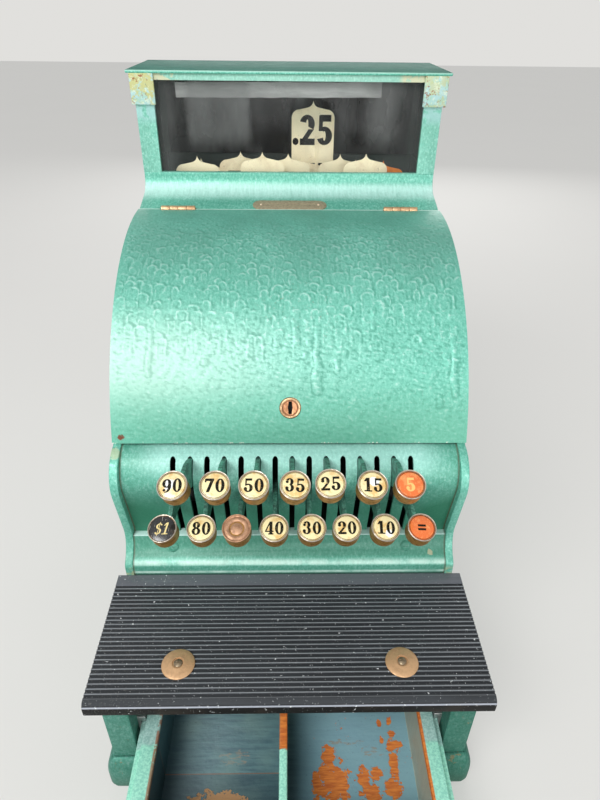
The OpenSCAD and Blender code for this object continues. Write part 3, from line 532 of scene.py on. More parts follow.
def drawer_paint(name):
    """Mint wall tops, streaky blue-grey insides, and places worn down to the orange wood.
    Painted shade lies under the shelf, by the left wall and by the divider, and painted light
    over the right compartment.
    """
    f = Finish(name)
    paint = settings().paint
    y = FRONT_Y
    rim_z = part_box("drawer_box")[1].z
    fleck = f.noise(620.0, 3.0, 0.65)
    light = f.mix(0.35 + f.ramp(fleck, 0.36, 0.66) * 0.5, rgba(paint.mid), "b6f5dc")
    # Painted shade on the wall tops where they run under the shelf
    shelf_end = f.ramp(f.y + f.noise(120.0, 2.0) * 0.006, y - 0.097, y - 0.093)
    shaded = f.mix(f.ramp(fleck, 0.4, 0.64), "8fb3ae", "b3cfcb")
    light = f.mix(shelf_end * 0.8, light, shaded)
    streak = f.streaks((45.0, 420.0, 420.0), 4.0)
    cloud = f.noise(24.0, 3.0)
    dark = f.mix(f.ramp(streak, 0.3, 0.7), "40616a", "567b7f")
    dark = f.mix(f.ramp(cloud, 0.42, 0.66) * 0.5, dark, "76978f")
    # Painted shade inside the left compartment near its left wall
    dark = f.mix(f.fall(f.x, -0.094, -0.072) * 0.6, dark, "24505c")
    # A painted shadow on the right of the divider
    by_divider = f.fall(abs(f.x - 0.003), 0.002, 0.014) * f.ramp(f.x, -0.001, 0.0)
    dark = f.mix(by_divider * 0.2, dark, "35566a")
    left = f.fall(f.x, -0.006, -0.005)
    joint = f.fall(abs(f.y - (y - 0.0957)), 0.0002, 0.0005) * left
    dark = f.mix(f.fall(f.y, y - 0.097, y - 0.0955) * left * 0.5, dark, "1f3a42")
    # Painted light over the right compartment, against the divider's shadow
    dark = f.mix(f.ramp(f.x, 0.0, 0.01) * 0.7, dark, "7ba6b2")
    dark = f.mix(joint * 0.8, dark, "7d5a40")
    inside = f.fall(f.z, rim_z - 0.0035, rim_z - 0.0015) * f.fall(abs(f.x), 0.1035, 0.1038)
    divider = f.fall(abs(f.x + 0.005), 0.0031, 0.0034)
    divider = divider * f.ramp(f.z, rim_z - 0.0055, rim_z - 0.0048)
    inside = inside * (1.0 - divider)
    tone = f.mix(inside, light, dark)
    tan_wall = f.ramp(f.x, 0.0925, 0.0932) * inside
    wall_streak = f.streaks((300.0, 300.0, 40.0))
    tone = f.mix(tan_wall * 0.9, tone, f.mix(wall_streak, "a5a68c", "ccc5a6"))
    scuff = f.patches([(-42, -84, 13, 6), (43, -73.5, 15, 2.6), (63, -81, 9, 4.5)], 1.2, 90.0)
    scratch = f.ramp(f.streaks((160.0, 520.0, 520.0), 4.0, 0.7, (0.3, 0.1, 0)), 0.5, 0.6)
    tone = f.mix(scuff * scratch * 0.7, tone, "8b7f6c")
    pits = f.blots(0.66, 0.7, 520.0, 3.0, 0.7) * inside
    tone = f.mix(pits * 0.5, tone, "1c2c30")
    floor = f.fall(f.z, 0.0165, 0.018) * f.fall(abs(f.x), 0.0931, 0.0934)
    worn = f.patches(WORN_FLOOR, 3.2, 190.0) * floor
    speck = f.blots(0.67, 0.69, 210.0, 4.0, 0.7) * inside * f.ramp(f.x, 0.005, 0.03)
    bare_top = divider * f.ramp(f.y + f.noise(300.0, 3.0) * 0.004, y - 0.0985, y - 0.0975)
    inner_edge = f.fall(abs(abs(f.x) - 0.0936), 0.0007, 0.0014)
    inner_edge = inner_edge * f.ramp(f.z, rim_z - 0.0045, rim_z - 0.0035)
    orange_edge = inner_edge * f.ramp(f.x + f.noise(90.0, 3.0) * 0.0008, 0.0, 0.001)
    brown_edge = inner_edge * f.blots(0.4, 0.46, 130.0, 4.0, 0.7)
    bare = worn | (speck * 0.8) | bare_top | orange_edge
    grain = f.streaks((90.0, 620.0, 620.0), 4.0)
    wood = f.mix(f.ramp(grain, 0.3, 0.7), "b4571a", "dd8430")
    wood = f.mix(f.fall(f.x, -0.01, -0.006), wood, "b58a5e")
    tone = f.mix(brown_edge * 0.8, tone, "9c5a33")
    tone = f.mix(bare, tone, wood)
    rough = 0.4 + bare * 0.25 + fleck * 0.12
    height = f.noise(330.0, 2.0) * 0.4 + streak * 0.4 - bare * 0.7
    return f.surface(tone, rough, (1.0 - bare) * 0.12, f.bump(height, 0.0005, 0.6))


def brass(name, clean=None, dark="5b3f22", patch=0.5, rough=0.34, scale=130.0, metal=0.9):
    """Old brass, brown in its hollows."""
    f = Finish(name)
    clean = clean or rgba(settings().paint.brass)
    stain = f.blots(0.42, 0.68, scale, 5.0, 0.7)
    specks = f.blots(0.6, 0.7, scale * 6, 3.0, 0.7)
    tone = f.mix(stain * patch, clean, dark)
    tone = f.mix(specks * 0.4 * patch, tone, "2e2418")
    height = f.noise(900.0, 3.0, 0.7) * 0.5 + stain * 0.5
    return f.surface(tone, rough + stain * 0.2, metal - stain * 0.25, f.bump(height, 0.00012, 0.5))


def lock_centre():
    """Where the lock's axis leaves the hood, and the way it points."""
    hood = settings().hood
    low_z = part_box("lid")[0].z
    axis = Vector((0, FRONT_Y + hood.axis_y, SHELF_Z + hood.axis_z))
    foot = math.pi - math.asin((low_z - axis.z) / (hood.radius - hood.sheet))
    angle = foot - hood.lock_up / hood.radius
    out = Vector((0, math.cos(angle), math.sin(angle)))
    return axis + (hood.radius + hood.paint) * out, out


def lock_brass(name):
    """The lock's copper-coloured brass with a dark groove round the plug, and painted shade
    standing for the keyway and the plug's sides down in the barrel.
    """
    f = Finish(name)
    middle, out = lock_centre()
    depth = (f.y - middle.y) * out.y + (f.z - middle.z) * out.z
    along = abs((f.z - middle.z) * out.y - (f.y - middle.y) * out.z)
    across = abs(f.x)
    far = across * across + along * along
    groove = f.band(far, 0.0046 ** 2, 0.0049 ** 2, 0.0054 ** 2, 0.0057 ** 2)
    # Painted shade stands for the keyway and for the plug's sides below its face
    keyway = f.fall(across + along * 0.16, 0.0016, 0.0019) * f.fall(along, 0.0044, 0.0048)
    keyway = keyway | f.fall(depth, -0.0022, -0.0018)
    stain = f.blots(0.4, 0.65, 260.0, 5.0, 0.7)
    tone = f.mix(stain * 0.6, "d29a72", "7a5236")
    tone = f.mix(groove * 0.6, tone, "3f2a1c")
    tone = f.mix(keyway, tone, "080706")
    return f.surface(tone, 0.38 + stain * 0.2 + keyway * 0.3, (1.0 - keyway) * 0.75,
                     f.bump(stain, 0.0001, 0.5))


# The shelf's ribs start this far before the front plane and stand this far apart
RIBS_START, RIB_PITCH = 0.0105, 0.00346


def shelf_paint(name):
    """Satin black with painted highlights on the ribs and the nose, painted shade on the front
    face, a greyer smooth band and specks of dust.
    """
    f = Finish(name)
    base = rgba(settings().paint.black)
    y, z = FRONT_Y, SHELF_Z
    step = ((y - RIBS_START - f.y) / RIB_PITCH).fraction()
    ribbed = f.fall(f.y, y - RIBS_START, y - 0.0103)
    top = f.ramp(f.z, z - 0.0006, z - 0.0003)
    # Painted highlights: a thin bright line along each rib
    line = f.band(step, 0.56, 0.66, 0.76, 0.86) * ribbed * top
    line = line * f.ramp(f.y, y - 0.0995, y - 0.099)
    line = line * (0.45 + f.streaks((50.0, 240.0, 240.0)) * 0.7)
    # A painted highlight along the nose
    nose = f.band(f.y, y - 0.1042, y - 0.1040, y - 0.1035, y - 0.1032)
    nose = nose * f.ramp(f.z, z - 0.004, z - 0.0035)
    sweep = f.noise(30.0, 4.0, 0.6, f.stretched((0.5, 1.4, 1)))
    streak = f.streaks((30.0, 600.0, 600.0))
    band = (1.0 - ribbed) * (0.55 + streak * 0.5)
    tone = f.mix(0.25 + f.ramp(sweep, 0.4, 0.75) * 0.35, base, "3d4145")
    tone = f.mix(band * 0.75, tone, "72757c")
    tone = f.mix(line * 0.75, tone, "a4a9ae")
    # Painted shade over the shelf's front face
    front = f.fall(f.z, z - 0.0026, z - 0.0016) * f.fall(f.y, y - 0.1032, y - 0.1024)
    blotch = f.blots(0.45, 0.65, 40.0, 3.0)
    tone = f.mix(front * 0.96, tone, f.mix(blotch, "0c0b0a", "241f1a"))
    tone = f.mix(nose * 0.75, tone, "b4b9c4")
    dust = f.blots(0.705, 0.715, 420.0, 2.0, 0.6)
    dust = dust | (f.blots(0.73, 0.75, 1100.0, 1.0) * 0.5)
    dusty = f.fall(f.x + f.noise(20.0, 2.0) * 0.1, -0.06, 0.0)
    dusty = dusty * f.blots(0.56, 0.7, 900.0, 3.0, 0.7)
    tone = f.mix(dusty * 0.3, tone, "8a8880")
    tone = f.mix(dust * 0.85, tone, "dfe2e2")
    roll = f.fall(f.y, y - 0.1008, y - 0.1002)
    rough = 0.3 + streak * 0.15 + dust * 0.4 + roll * 0.35
    return f.surface(tone, rough, 0.0, f.bump(f.noise(700.0, 2.0), 0.0001, 0.3),
                     Coat_Weight=(1.0 - roll) * 0.12, Coat_Roughness=0.2,
                     Specular_IOR_Level=0.28)


def steel(name):
    """Bare steel, stained brown."""
    f = Finish(name)
    stain = f.blots(0.45, 0.7, 90.0, 4.0, 0.65)
    tone = f.mix(stain * 0.6, "84888a", "4a4642")
    return f.surface(tone, 0.38 + stain * 0.25, 0.9, f.bump(f.noise(1200.0, 2.0), 0.00008, 0.4))


def blade_paint(name):
    """Levers: green paint on the blades, rubbed dark."""
    f = Finish(name)
    fleck = f.noise(520.0, 3.0, 0.65)
    rub = f.blots(0.42, 0.62, 110.0, 4.0, 0.65)
    tone = f.mix(f.ramp(fleck, 0.35, 0.65), "3f7868", "6cae99")
    tone = f.mix(rub * 0.6, tone, "3b4a45")
    inner = f.ramp(f.y, FRONT_Y + 0.016, FRONT_Y + 0.03)
    tone = f.mix(inner, tone, "4c4f50")
    return f.surface(tone, 0.42 + rub * 0.15, 0.3 + inner * 0.5, f.bump(fleck, 0.00015, 0.5))


def celluloid(f, tone, blot, fine):
    """Ends a key face's tree: a clear, slightly worn sheet over the printed tone."""
    return f.surface(tone, 0.22 + fine * 0.2, 0.0, f.bump(fine + blot, 0.00008, 0.4),
                     Coat_Weight=0.5, Coat_Roughness=0.12)


def face_finish(name, base, age, crackle=0.0, scratches=0.0):
    """A key's printed face, fading to its aged colour in blots."""
    f = Finish(name)
    blot = f.blots(0.47, 0.66, 150.0, 4.0, 0.65)
    fine = f.blots(0.52, 0.72, 520.0, 4.0, 0.7)
    tone = f.mix(blot * 0.75, base, age)
    tone = f.mix(fine * 0.35, tone, age)
    if crackle:
        crack = f.fall(f.cracks(420.0), 0.0, 0.035)
        crack = crack * f.blots(0.5, 0.6, 120.0, 2.0)
        tone = f.mix(crack * crackle, tone, "6b4a26")
    if scratches:
        line = f.noise(1.0, 2.0, 0.5, f.stretched((1400.0, 150.0, 150.0)), warp=0.6)
        tone = f.mix(f.ramp(line, 0.66, 0.69) * scratches, tone, "d9d4c4")
    return celluloid(f, tone, blot, fine)


def cream_face(name):
    """Cream faces with white patches where three of them are rubbed."""
    f = Finish(name)
    base = rgba(settings().paint.cream)
    blot = f.blots(0.46, 0.66, 140.0, 4.0, 0.65)
    fine = f.blots(0.5, 0.74, 560.0, 4.0, 0.7)
    tone = f.mix(blot * 0.85, base, "dcb063")
    tone = f.mix(fine * 0.3, tone, "b98a48")
    for key, shift, radius in (("90", (-0.002, 0.001), 0.0034), ("15", (0.001, 0.002), 0.003),
                               ("10", (0.002, -0.004), 0.0026)):
        centre = face_place(key) @ Vector((shift[0], shift[1], 0))
        tone = f.mix(f.spot(centre, radius, 0.7, 420.0), tone, "f4f4f4")
    return celluloid(f, tone, blot, fine)


def ink(name, tone, worn):
    """Printing ink, rubbed through in places."""
    f = Finish(name)
    rub = f.blots(0.56, 0.7, 700.0, 4.0, 0.7)
    tone = f.mix(rub * worn, tone, "a8986c")
    return f.surface(tone, 0.4 + rub * 0.2, 0.0, f.bump(rub, 0.00004, 0.4),
                     Specular_IOR_Level=0.12)


def tab_finish(name, base, aged):
    """Enamelled sheet with smears and specks."""
    f = Finish(name)
    smear = f.blots(0.48, 0.72, 60.0, 5.0, 0.65)
    specks = f.blots(0.66, 0.7, 420.0, 3.0, 0.7)
    tone = f.mix(smear * 0.4, base, aged)
    tone = f.mix(specks * 0.5, tone, "6f5c3e")
    return f.surface(tone, 0.45 + smear * 0.2, 0.0, f.bump(smear, 0.0001, 0.3),
                     Specular_IOR_Level=0.3)


def pane(name, tone, clear, dirty):
    """Old glass: a veil of dirt over a clear or smoked pane."""
    f = Finish(name)
    sides = f.ramp(abs(f.x), 0.075, 0.115)
    smear = f.ramp(f.noise(16.0, 4.0, 0.6, f.stretched((1.6, 1, 0.6))), 0.4, 0.75)
    grit = f.blots(0.68, 0.74, 800.0, 3.0, 0.6)
    cloth = f.fall(abs(f.x + 0.06), 0.022, 0.03)
    cloth = cloth | (f.fall(abs(f.x - 0.078), 0.004, 0.022) * 0.8)
    cloth = cloth * f.ramp(f.z, SHELF_Z + 0.262, SHELF_Z + 0.28)
    veil = (smear * 0.3 + sides * 0.4 + cloth * 0.9) * dirty
    tone = f.mix(smear * (0.3 + dirty * 2.9), tone, "8b8d8c")
    return f.surface(tone, 0.07 + smear * 0.1, 0.0, None, Alpha=clear + veil + grit * 0.15,
                     Specular_IOR_Level=0.12)


def tape(name):
    """Clear tape, grey with age and unevenly stuck."""
    f = Finish(name)
    wave = f.noise(70.0, 3.0, 0.6, f.stretched((0.4, 1, 2)))
    tone = f.mix(wave, "8f908f", "c4c6c3")
    return f.surface(tone, 0.3 + wave * 0.2, 0.0, f.bump(wave, 0.0003, 0.4),
                     Alpha=0.34 + wave * 0.36)


def board(name):
    """Dark green board with its grain across the register."""
    f = Finish(name)
    grain = f.streaks((300.0, 30.0, 300.0), 4.0)
    tone = f.mix(grain, "26352f", "405247")
    return f.surface(tone, 0.6 + grain * 0.2, 0.0, f.bump(grain, 0.0003, 0.4))


def floor_finish(name):
    """A pale backdrop that glows a little where it is looked at."""
    f = Finish(name)
    tone = f.mix(f.noise(3.0, 3.0), "dcdad6", "e4e2de")
    paint = f.node("ShaderNodeBsdfPrincipled", {}, {"Base Color": tone,
                                                    "Roughness": 0.75 + f.noise(40.0, 2.0) * 0.1})
    glow = f.node("ShaderNodeEmission", {}, {"Color": linear(BACKDROP), "Strength": BACKDROP_GLOW})
    shown = f.node("ShaderNodeMixShader", {}, {0: f.looked_at() * 0.6, 1: paint, 2: glow})
    f.node("ShaderNodeOutputMaterial", {}, {"Surface": shown})
    return f.material


MAKERS = {
    "sea enamel": lambda n: enamel(n, casting_wear_and_shade),
    "hood enamel": lambda n: enamel(n, hood_wear_and_light, grain=0.7),
    "cover enamel": lambda n: enamel(n, cover_light_and_shade, coat=0.0, shine=0.05),
    "neck enamel": lambda n: enamel(n, neck_highlights_and_specks),
    "panel enamel": lambda n: enamel(n, panel_light_and_lines, 0.97),
    "strip enamel": lambda n: enamel(n, strip_light_and_wear, 0.97),
    "frame enamel": lambda n: enamel(n, frame_wear_and_shade),
    "worn cap enamel": lambda n: enamel(n, cap_wear),
    # The base and the drawer front take the enamel at half brightness: painted shade
    "base enamel": lambda n: enamel(n, base_wear_and_shade, 0.5, 0.05, coat=0.0, shine=0.2),
    "drawer paint": drawer_paint,
    "dark board": board,
    "shelf black": shelf_paint,
    "aged brass": brass,
    "ring brass": lambda n: brass(n, "ddb88e", "6f4c2e", 0.7, 0.38, 300.0, 0.65),
    "lock brass": lock_brass,
    "pin brass": lambda n: brass(n, "f2dcc2", "b99470", 0.3, 0.35, 200.0, 0.3),
    "screw brass": lambda n: brass(n, "8d7d66", "4a3f31", 0.7, 0.4, 420.0, 0.7),
    "plate brass": lambda n: brass(n, "a5997e", "6b6350", 0.6, 0.5, 420.0, 0.35),
    "hinge brass": lambda n: brass(n, "d8b48c", "8a5f3d", 0.5, 0.36, 160.0, 0.8),
    "cup brass": lambda n: brass(n, "b48a48", "573a18", 0.75, 0.4, 240.0, 0.7),
    "rim nickel": lambda n: brass(n, "c3b9ac", "6f5c45", 0.55, 0.3, 320.0, 0.8),
    "medallion brass": lambda n: brass(n, "cfa77e", "8f6d4a", 0.5, 0.42, 120.0, 0.55),
    "bare copper": lambda n: brass(n, "bd9476", "7c573c", 0.7, 0.45, 260.0, 0.6),
    "steel": steel,
    "blade paint": blade_paint,
    "face cream": cream_face,
    "face black": lambda n: face_finish(n, "17181a", "2c2a28", scratches=0.8),
    "face orange": lambda n: face_finish(n, rgba(settings().paint.orange), "ea9b5a", 0.1),
    "ink black": lambda n: ink(n, "17150f", 0.5),
    "ink tab": lambda n: ink(n, "0e0e0c", 0.12),
    "ink cream": lambda n: ink(n, "e3cf92", 0.5),
    "ink yellow": lambda n: ink(n, "efbd73", 0.3),
    "tab cream": lambda n: tab_finish(n, "f6ebc6", "c7ad88"),
    "tab orange": lambda n: tab_finish(n, "f08a30", "c8641e"),
    "front glass": lambda n: pane(n, "797a79", 0.02, 0.24),
    "rear glass": lambda n: pane(n, "1f1f1f", 0.92, 0.05),
    "tape": tape,
    "floor": floor_finish,
}


def finish(name):
    """The material of that name, made at its first use."""
    return bpy.data.materials.get(name) or MAKERS[name](name)


# ---- Pieces ----

def cad_copy(node, joined=True):
    """A CAD node's solids, with their loose triangles merged into clean faces."""
    bm = bmesh.new()
    bm.from_mesh(frame["nodes"][node].data)
    bmesh.ops.remove_doubles(bm, verts=bm.verts, dist=0.01 * MM)
    if joined:
        bmesh.ops.dissolve_limit(bm, angle_limit=math.radians(0.5), verts=bm.verts, edges=bm.edges)
    return bm


def round_edges(bm, width, segments=2):
    """Rounds the outer edges that are sharper than 40 degrees."""
    sharp = [e for e in bm.edges if len(e.link_faces) == 2 and e.is_convex
             and e.calc_face_angle(0.0) > math.radians(40)]
    bmesh.ops.bevel(bm, geom=sharp, offset=width, offset_type="OFFSET", segments=segments,
                    profile=0.5, affect="EDGES", clamp_overlap=True, material=-1)


def piece(name, bm, body, material, replaces=(), sharp=34.0):
    """Makes an object of a bmesh, gives it its finish and lets it ride on a body."""
    mesh = bpy.data.meshes.new(name)
    bm.to_mesh(mesh)
    bm.free()
    mesh.shade_smooth()
    mesh.set_sharp_from_angle(angle=math.radians(sharp))
    mesh.materials.append(finish(material))
    made = bpy.data.objects.new(name, mesh)
    bpy.context.scene.collection.objects.link(made)
    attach(made, body)
    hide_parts(*replaces)


def dressed(node, material, width, segments=2):
    """A CAD node with rounded edges and smooth curves, in its place."""
    bm = cad_copy(node)
    if width:
        round_edges(bm, width * MM, segments)
    body = frame["nodes"][node]["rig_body"]
    piece(node + "_dressed", bm, body, material, [node])


def painted(node, material):
    """A CAD node that keeps its own mesh."""
    slots = frame["nodes"][node].data.materials
    slots.clear()
    slots.append(finish(material))


def turned(bm, profile, place, steps=48):
    """Turns a profile of (radius, height) points, in millimetres, and carries it to its place.
    Its faces are tagged, so that the next profile in the same bmesh is told apart."""
    verts = [bm.verts.new((r * MM, 0, z * MM)) for r, z in profile]
    edges = [bm.edges.new(pair) for pair in zip(verts, verts[1:])]
    made = bmesh.ops.spin(bm, geom=verts + edges, cent=(0, 0, 0), axis=(0, 0, 1), dvec=(0, 0, 0),
                          angle=2 * math.pi, steps=steps, use_merge=True, use_duplicate=False)
    ring = list({v for v in verts + [g for g in made["geom_last"]
                                     if isinstance(g, bmesh.types.BMVert)] if v.is_valid})
    faces = [f for f in bm.faces if not f.tag]
    all_verts = list({v for f in faces for v in f.verts} | set(ring))
    bmesh.ops.remove_doubles(bm, verts=all_verts, dist=0.002 * MM)
    faces = [f for f in bm.faces if not f.tag]
    bmesh.ops.recalc_face_normals(bm, faces=faces)
    verts = list({v for f in faces for v in f.verts})
    bmesh.ops.transform(bm, matrix=place, verts=verts)
    for f in faces:
        f.tag = True


class REGISTER_OT_cabinet(bpy.types.Operator):
    """Paints the castings, the key panel, the strip, the neck and the back"""

    bl_idname = "ticket_register.cabinet"
    bl_label = "Cabinet"

    def execute(self, context):
        for node in ("left_cheek", "right_cheek"):
            dressed(node, "sea enamel", 0.9, 3)
        dressed("neck", "neck enamel", 0.5)
        dressed("back_panel", "sea enamel", 0.4)
        dressed("key_panel", "panel enamel", 0)
        dressed("lower_strip", "strip enamel", 0.5)
        painted("cabinet_floor", "dark board")
        return {"FINISHED"}


class REGISTER_OT_window(bpy.types.Operator):
    """Makes the window: frame, worn corner caps, cover, two panes and the strip of tape"""

    bl_idname = "ticket_register.window"
    bl_label = "Window"

    def execute(self, context):
        bm = cad_copy("window_frame", joined=False)
        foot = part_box("window_frame")[0].z
        for v in bm.verts:
            # The sill's upper face comes down to half a millimetre
            if 1 * MM < v.co.z - foot < 4 * MM:
                v.co.z = foot + 0.5 * MM
        round_edges(bm, 0.15 * MM)
        piece("window_frame_dressed", bm, "cabinet", "frame enamel",
              ["window_frame"])
        dressed("corner_caps", "worn cap enamel", 0.5)
        dressed("top_cover", "cover enamel", 0.8, 3)
        low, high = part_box("window_glass")
        thick = 2.5 * MM
        for name, y, material in (("front_pane", low.y + thick / 2, "front glass"),
                                  ("rear_pane", high.y - thick / 2, "rear glass")):
            bm = bmesh.new()
            bmesh.ops.create_cube(bm, size=1.0)
            bmesh.ops.scale(bm, vec=(high.x - low.x, thick, high.z - low.z), verts=bm.verts)
            bmesh.ops.translate(bm, vec=(0, y, (low.z + high.z) / 2), verts=bm.verts)
            round_edges(bm, 0.2 * MM, 1)
            piece(name, bm, "cabinet", material, ["window_glass"])
        self.tape(low.y + thick)
        return {"FINISHED"}

    def tape(self, pane_y):
        """A wrinkled strip of tape behind the front pane's upper edge."""
        bm = bmesh.new()
        bmesh.ops.create_grid(bm, x_segments=60, y_segments=6, size=0.5)
        bmesh.ops.scale(bm, vec=(171 * MM, 11.5 * MM, 1), verts=bm.verts)
        bmesh.ops.rotate(bm, matrix=Matrix.Rotation(math.radians(90), 3, "X"), verts=bm.verts)
        bmesh.ops.rotate(bm, matrix=Matrix.Rotation(math.radians(-0.45), 3, "Y"), verts=bm.verts)
        bmesh.ops.translate(bm, vec=(-9 * MM, pane_y + 0.35 * MM, SHELF_Z + 310.8 * MM),
                            verts=bm.verts)
        for v in bm.verts:
            v.co.y += 0.25 * MM * (1 + noise.noise(v.co * 60.0))
            v.co.z += 0.5 * MM * noise.noise(v.co * 90.0)
        bmesh.ops.solidify(bm, geom=bm.faces[:], thickness=0.08 * MM)
        piece("window_tape", bm, "cabinet", "tape")


class REGISTER_OT_hood(bpy.types.Operator):
    """Rolls the hood's sheet and lays its paint on it, with the run marks"""

    bl_idname = "ticket_register.hood"
    bl_label = "Hood"

    def runs(self, seed):
        """Run marks from the rear to the front: (across, along, half width, leg, strength), in
        millimetres. A run with a negative leg is the rounded end of a drip."""
        draw = random.Random(seed)
        made = []
        along = 10.0
        while along < 172:
            # Small, close ripples at the rear grow into large, long drops at the front
            grown = clamp((along - 45) / 55)
            pitch = 4.5 + 4.0 * grown
            lane = -128 + draw.uniform(0, pitch)
            while lane < 128:
                s = along + draw.uniform(-0.6, 0.6) * pitch
                half = pitch * draw.uniform(0.28, 0.48)
                leg = half * (1.3 + 5.5 * grown * draw.random())
                leg += 12 * grown if draw.random() < 0.12 else 0
                strength = draw.uniform(0.5, 1.0) * clamp((s - 4) / 55, 0.3)
                strength *= clamp((178 - s - 50 * draw.random()) / 26)
                if strength > 0.03:
                    made.append((lane + draw.uniform(-0.35, 0.35) * pitch, s, half, leg, strength))
                lane += pitch * 0.9
            along += pitch * 0.86
        for _ in range(16):
            made.append((draw.uniform(-122, 122), draw.uniform(112, 165), draw.uniform(1.7, 2.6),
                         -draw.uniform(3, 14), draw.uniform(0.5, 0.9)))
        made += [(x, s, half, -leg, 1.0) for x, s, half, leg in DRIPS]
        return sorted(made, key=lambda run: run[1])

    def execute(self, context):
        hood = settings().hood
        low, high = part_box("lid")
        centre = Vector((0, FRONT_Y + hood.axis_y, SHELF_Z + hood.axis_z))
        top_a = math.acos((high.y - centre.y) / hood.radius)
        low_a = math.pi - math.asin((low.z - centre.z) / (hood.radius - hood.sheet))
        outer = hood.radius + hood.paint
        arc = (low_a - top_a) * hood.radius
        across = round((high.x - low.x) / hood.step)
        bm = bmesh.new()
        start = centre + outer * Vector((0, math.cos(top_a), math.sin(top_a)))
        line = [bm.verts.new((low.x + (high.x - low.x) * k / across, start.y, start.z))
                for k in range(across + 1)]
        edges = [bm.edges.new(pair) for pair in zip(line, line[1:])]
        bmesh.ops.spin(bm, geom=line + edges, cent=centre, axis=(1, 0, 0), dvec=(0, 0, 0),
                       angle=low_a - top_a, steps=round(arc / hood.step), use_merge=False,
                       use_duplicate=False)
        bmesh.ops.remove_doubles(bm, verts=bm.verts, dist=0.005 * MM)
        self.cut_out(bm, high.y)
        self.lay_paint(bm, centre, top_a, arc)
        bmesh.ops.recalc_face_normals(bm, faces=bm.faces)
        face = bm.faces[0]
        out = face.calc_center_median() - centre
        if face.normal.dot(Vector((0, out.y, out.z))) < 0:
            bmesh.ops.reverse_faces(bm, faces=bm.faces)
        edge = [e for e in bm.edges if e.is_boundary]
        skirt = bmesh.ops.extrude_edge_only(bm, edges=edge)["geom"]
        for v in skirt:
            if isinstance(v, bmesh.types.BMVert):
                flat = Vector((0, v.co.y - centre.y, v.co.z - centre.z))
                v.co -= flat.normalized() * (hood.paint + 0.6 * MM)
        piece("hood_paint", bm, "hood", "hood enamel", sharp=50)
        painted("lid", "hood enamel")
        return {"FINISHED"}

    def cut_out(self, bm, rear_y):
        """Cuts the hinges' notches and the lock's hole."""
        notch_y = rear_y - HINGE_DEEP * MM
        cuts = [((x * MM + side, 0, 0), (1, 0, 0)) for x in (-HINGE_X, HINGE_X)
                for side in (-HINGE_HALF * MM, HINGE_HALF * MM)]
        for at, normal in cuts + [((0, notch_y, 0), (0, 1, 0))]:
            bmesh.ops.bisect_plane(bm, geom=bm.verts[:] + bm.edges[:] + bm.faces[:], dist=1e-6,
                                   plane_co=at, plane_no=normal)
        lock_at, _ = lock_centre()
        hole = LOCK_HOLE * MM
        gone = []
        for face in bm.faces:
            at = face.calc_center_median()
            in_notch = at.y > notch_y and abs(abs(at.x) - HINGE_X * MM) < HINGE_HALF * MM
            if in_notch or (at - lock_at).length < hole:
                gone.append(face)
        bmesh.ops.delete(bm, geom=gone, context="FACES")
        for v in bm.verts:
            if v.is_boundary and (v.co - lock_at).length < hole + 2 * settings().hood.step:
                v.co = lock_at + (v.co - lock_at).normalized() * hole

    def lay_paint(self, bm, centre, top_a, arc):
        """Lifts the skin into run marks. A mark covers what it runs over; an attribute keeps a
        painted highlight on its crest and a painted shadow beside it.
        """
        hood = settings().hood
        layer = bm.verts.layers.float.new("flow")
        # Each vert, its place on the sheet in millimetres, the place across with a wobble, and how
        # whole a mark is there. The buckets find the verts near a mark
        cell = 4.0
        buckets = {}
        spots = []
        for v in bm.verts:
            s = (math.atan2(v.co.z - centre.z, v.co.y - centre.y) - top_a) * hood.radius / MM
            x = v.co.x / MM
            wander = 2.0 * noise.noise(Vector((x, s * 0.6, 3.0)) * 0.17) + 0.6 * noise.noise(
                Vector((x, s, 30.0)) * 0.45)
            broken = 0.8 + 1.1 * noise.noise(Vector((x, s, 21.0)) * 0.19)
            buckets.setdefault((int(x // cell), int(s // cell)), []).append(len(spots))
            spots.append((v, x, s, x + wander, clamp(broken, 0.25)))
        lift = [0.0] * len(spots)
        flow = [0.0] * len(spots)
        for x0, s0, half, leg, strength in self.runs(hood.seed):
            up, down = (half, leg) if leg > 0 else (-leg, half)
            for ix in range(int((x0 - half - 3) // cell), int((x0 + half + 3) // cell) + 1):
                for js in range(int((s0 - up - 2) // cell), int((s0 + down + 2) // cell) + 1):
                    for k in buckets.get((ix, js), ()):
                        dx = spots[k][3] - x0
                        ds = (spots[k][2] - s0) * (1 if leg > 0 else -1)
                        trail = clamp(ds / abs(leg))
                        far = math.hypot(dx, ds) if ds < 0 else abs(dx) + half * 0.22 * trail
                        gap = far - half
                        fade = strength * (1 - trail ** 2) * (spots[k][4] if leg > 0 else 1)
                        if gap < -0.8:
                            lift[k] *= 1 - 0.7 * fade
                            flow[k] *= 1 - 0.7 * fade
                        rim = fade * math.exp(-(gap / 0.72) ** 2)
                        if leg < 0:
                            dome = fade * (1 - clamp(1 + gap / half) ** 2) if gap < 0 else 0
                            lift[k] = max(lift[k], 1.3 * dome, 0.3 * rim)
                            # A painted shadow just outside a drip's end, and a painted highlight
                            # on its dome
                            shadow = 0.8 * fade * math.exp(-((gap - 0.5) / 0.7) ** 2)
                            flow[k] = max(flow[k], 0.35 * dome) - shadow
                            continue
                        lift[k] = max(lift[k], rim, 0.25 * fade if gap < 0 else 0)
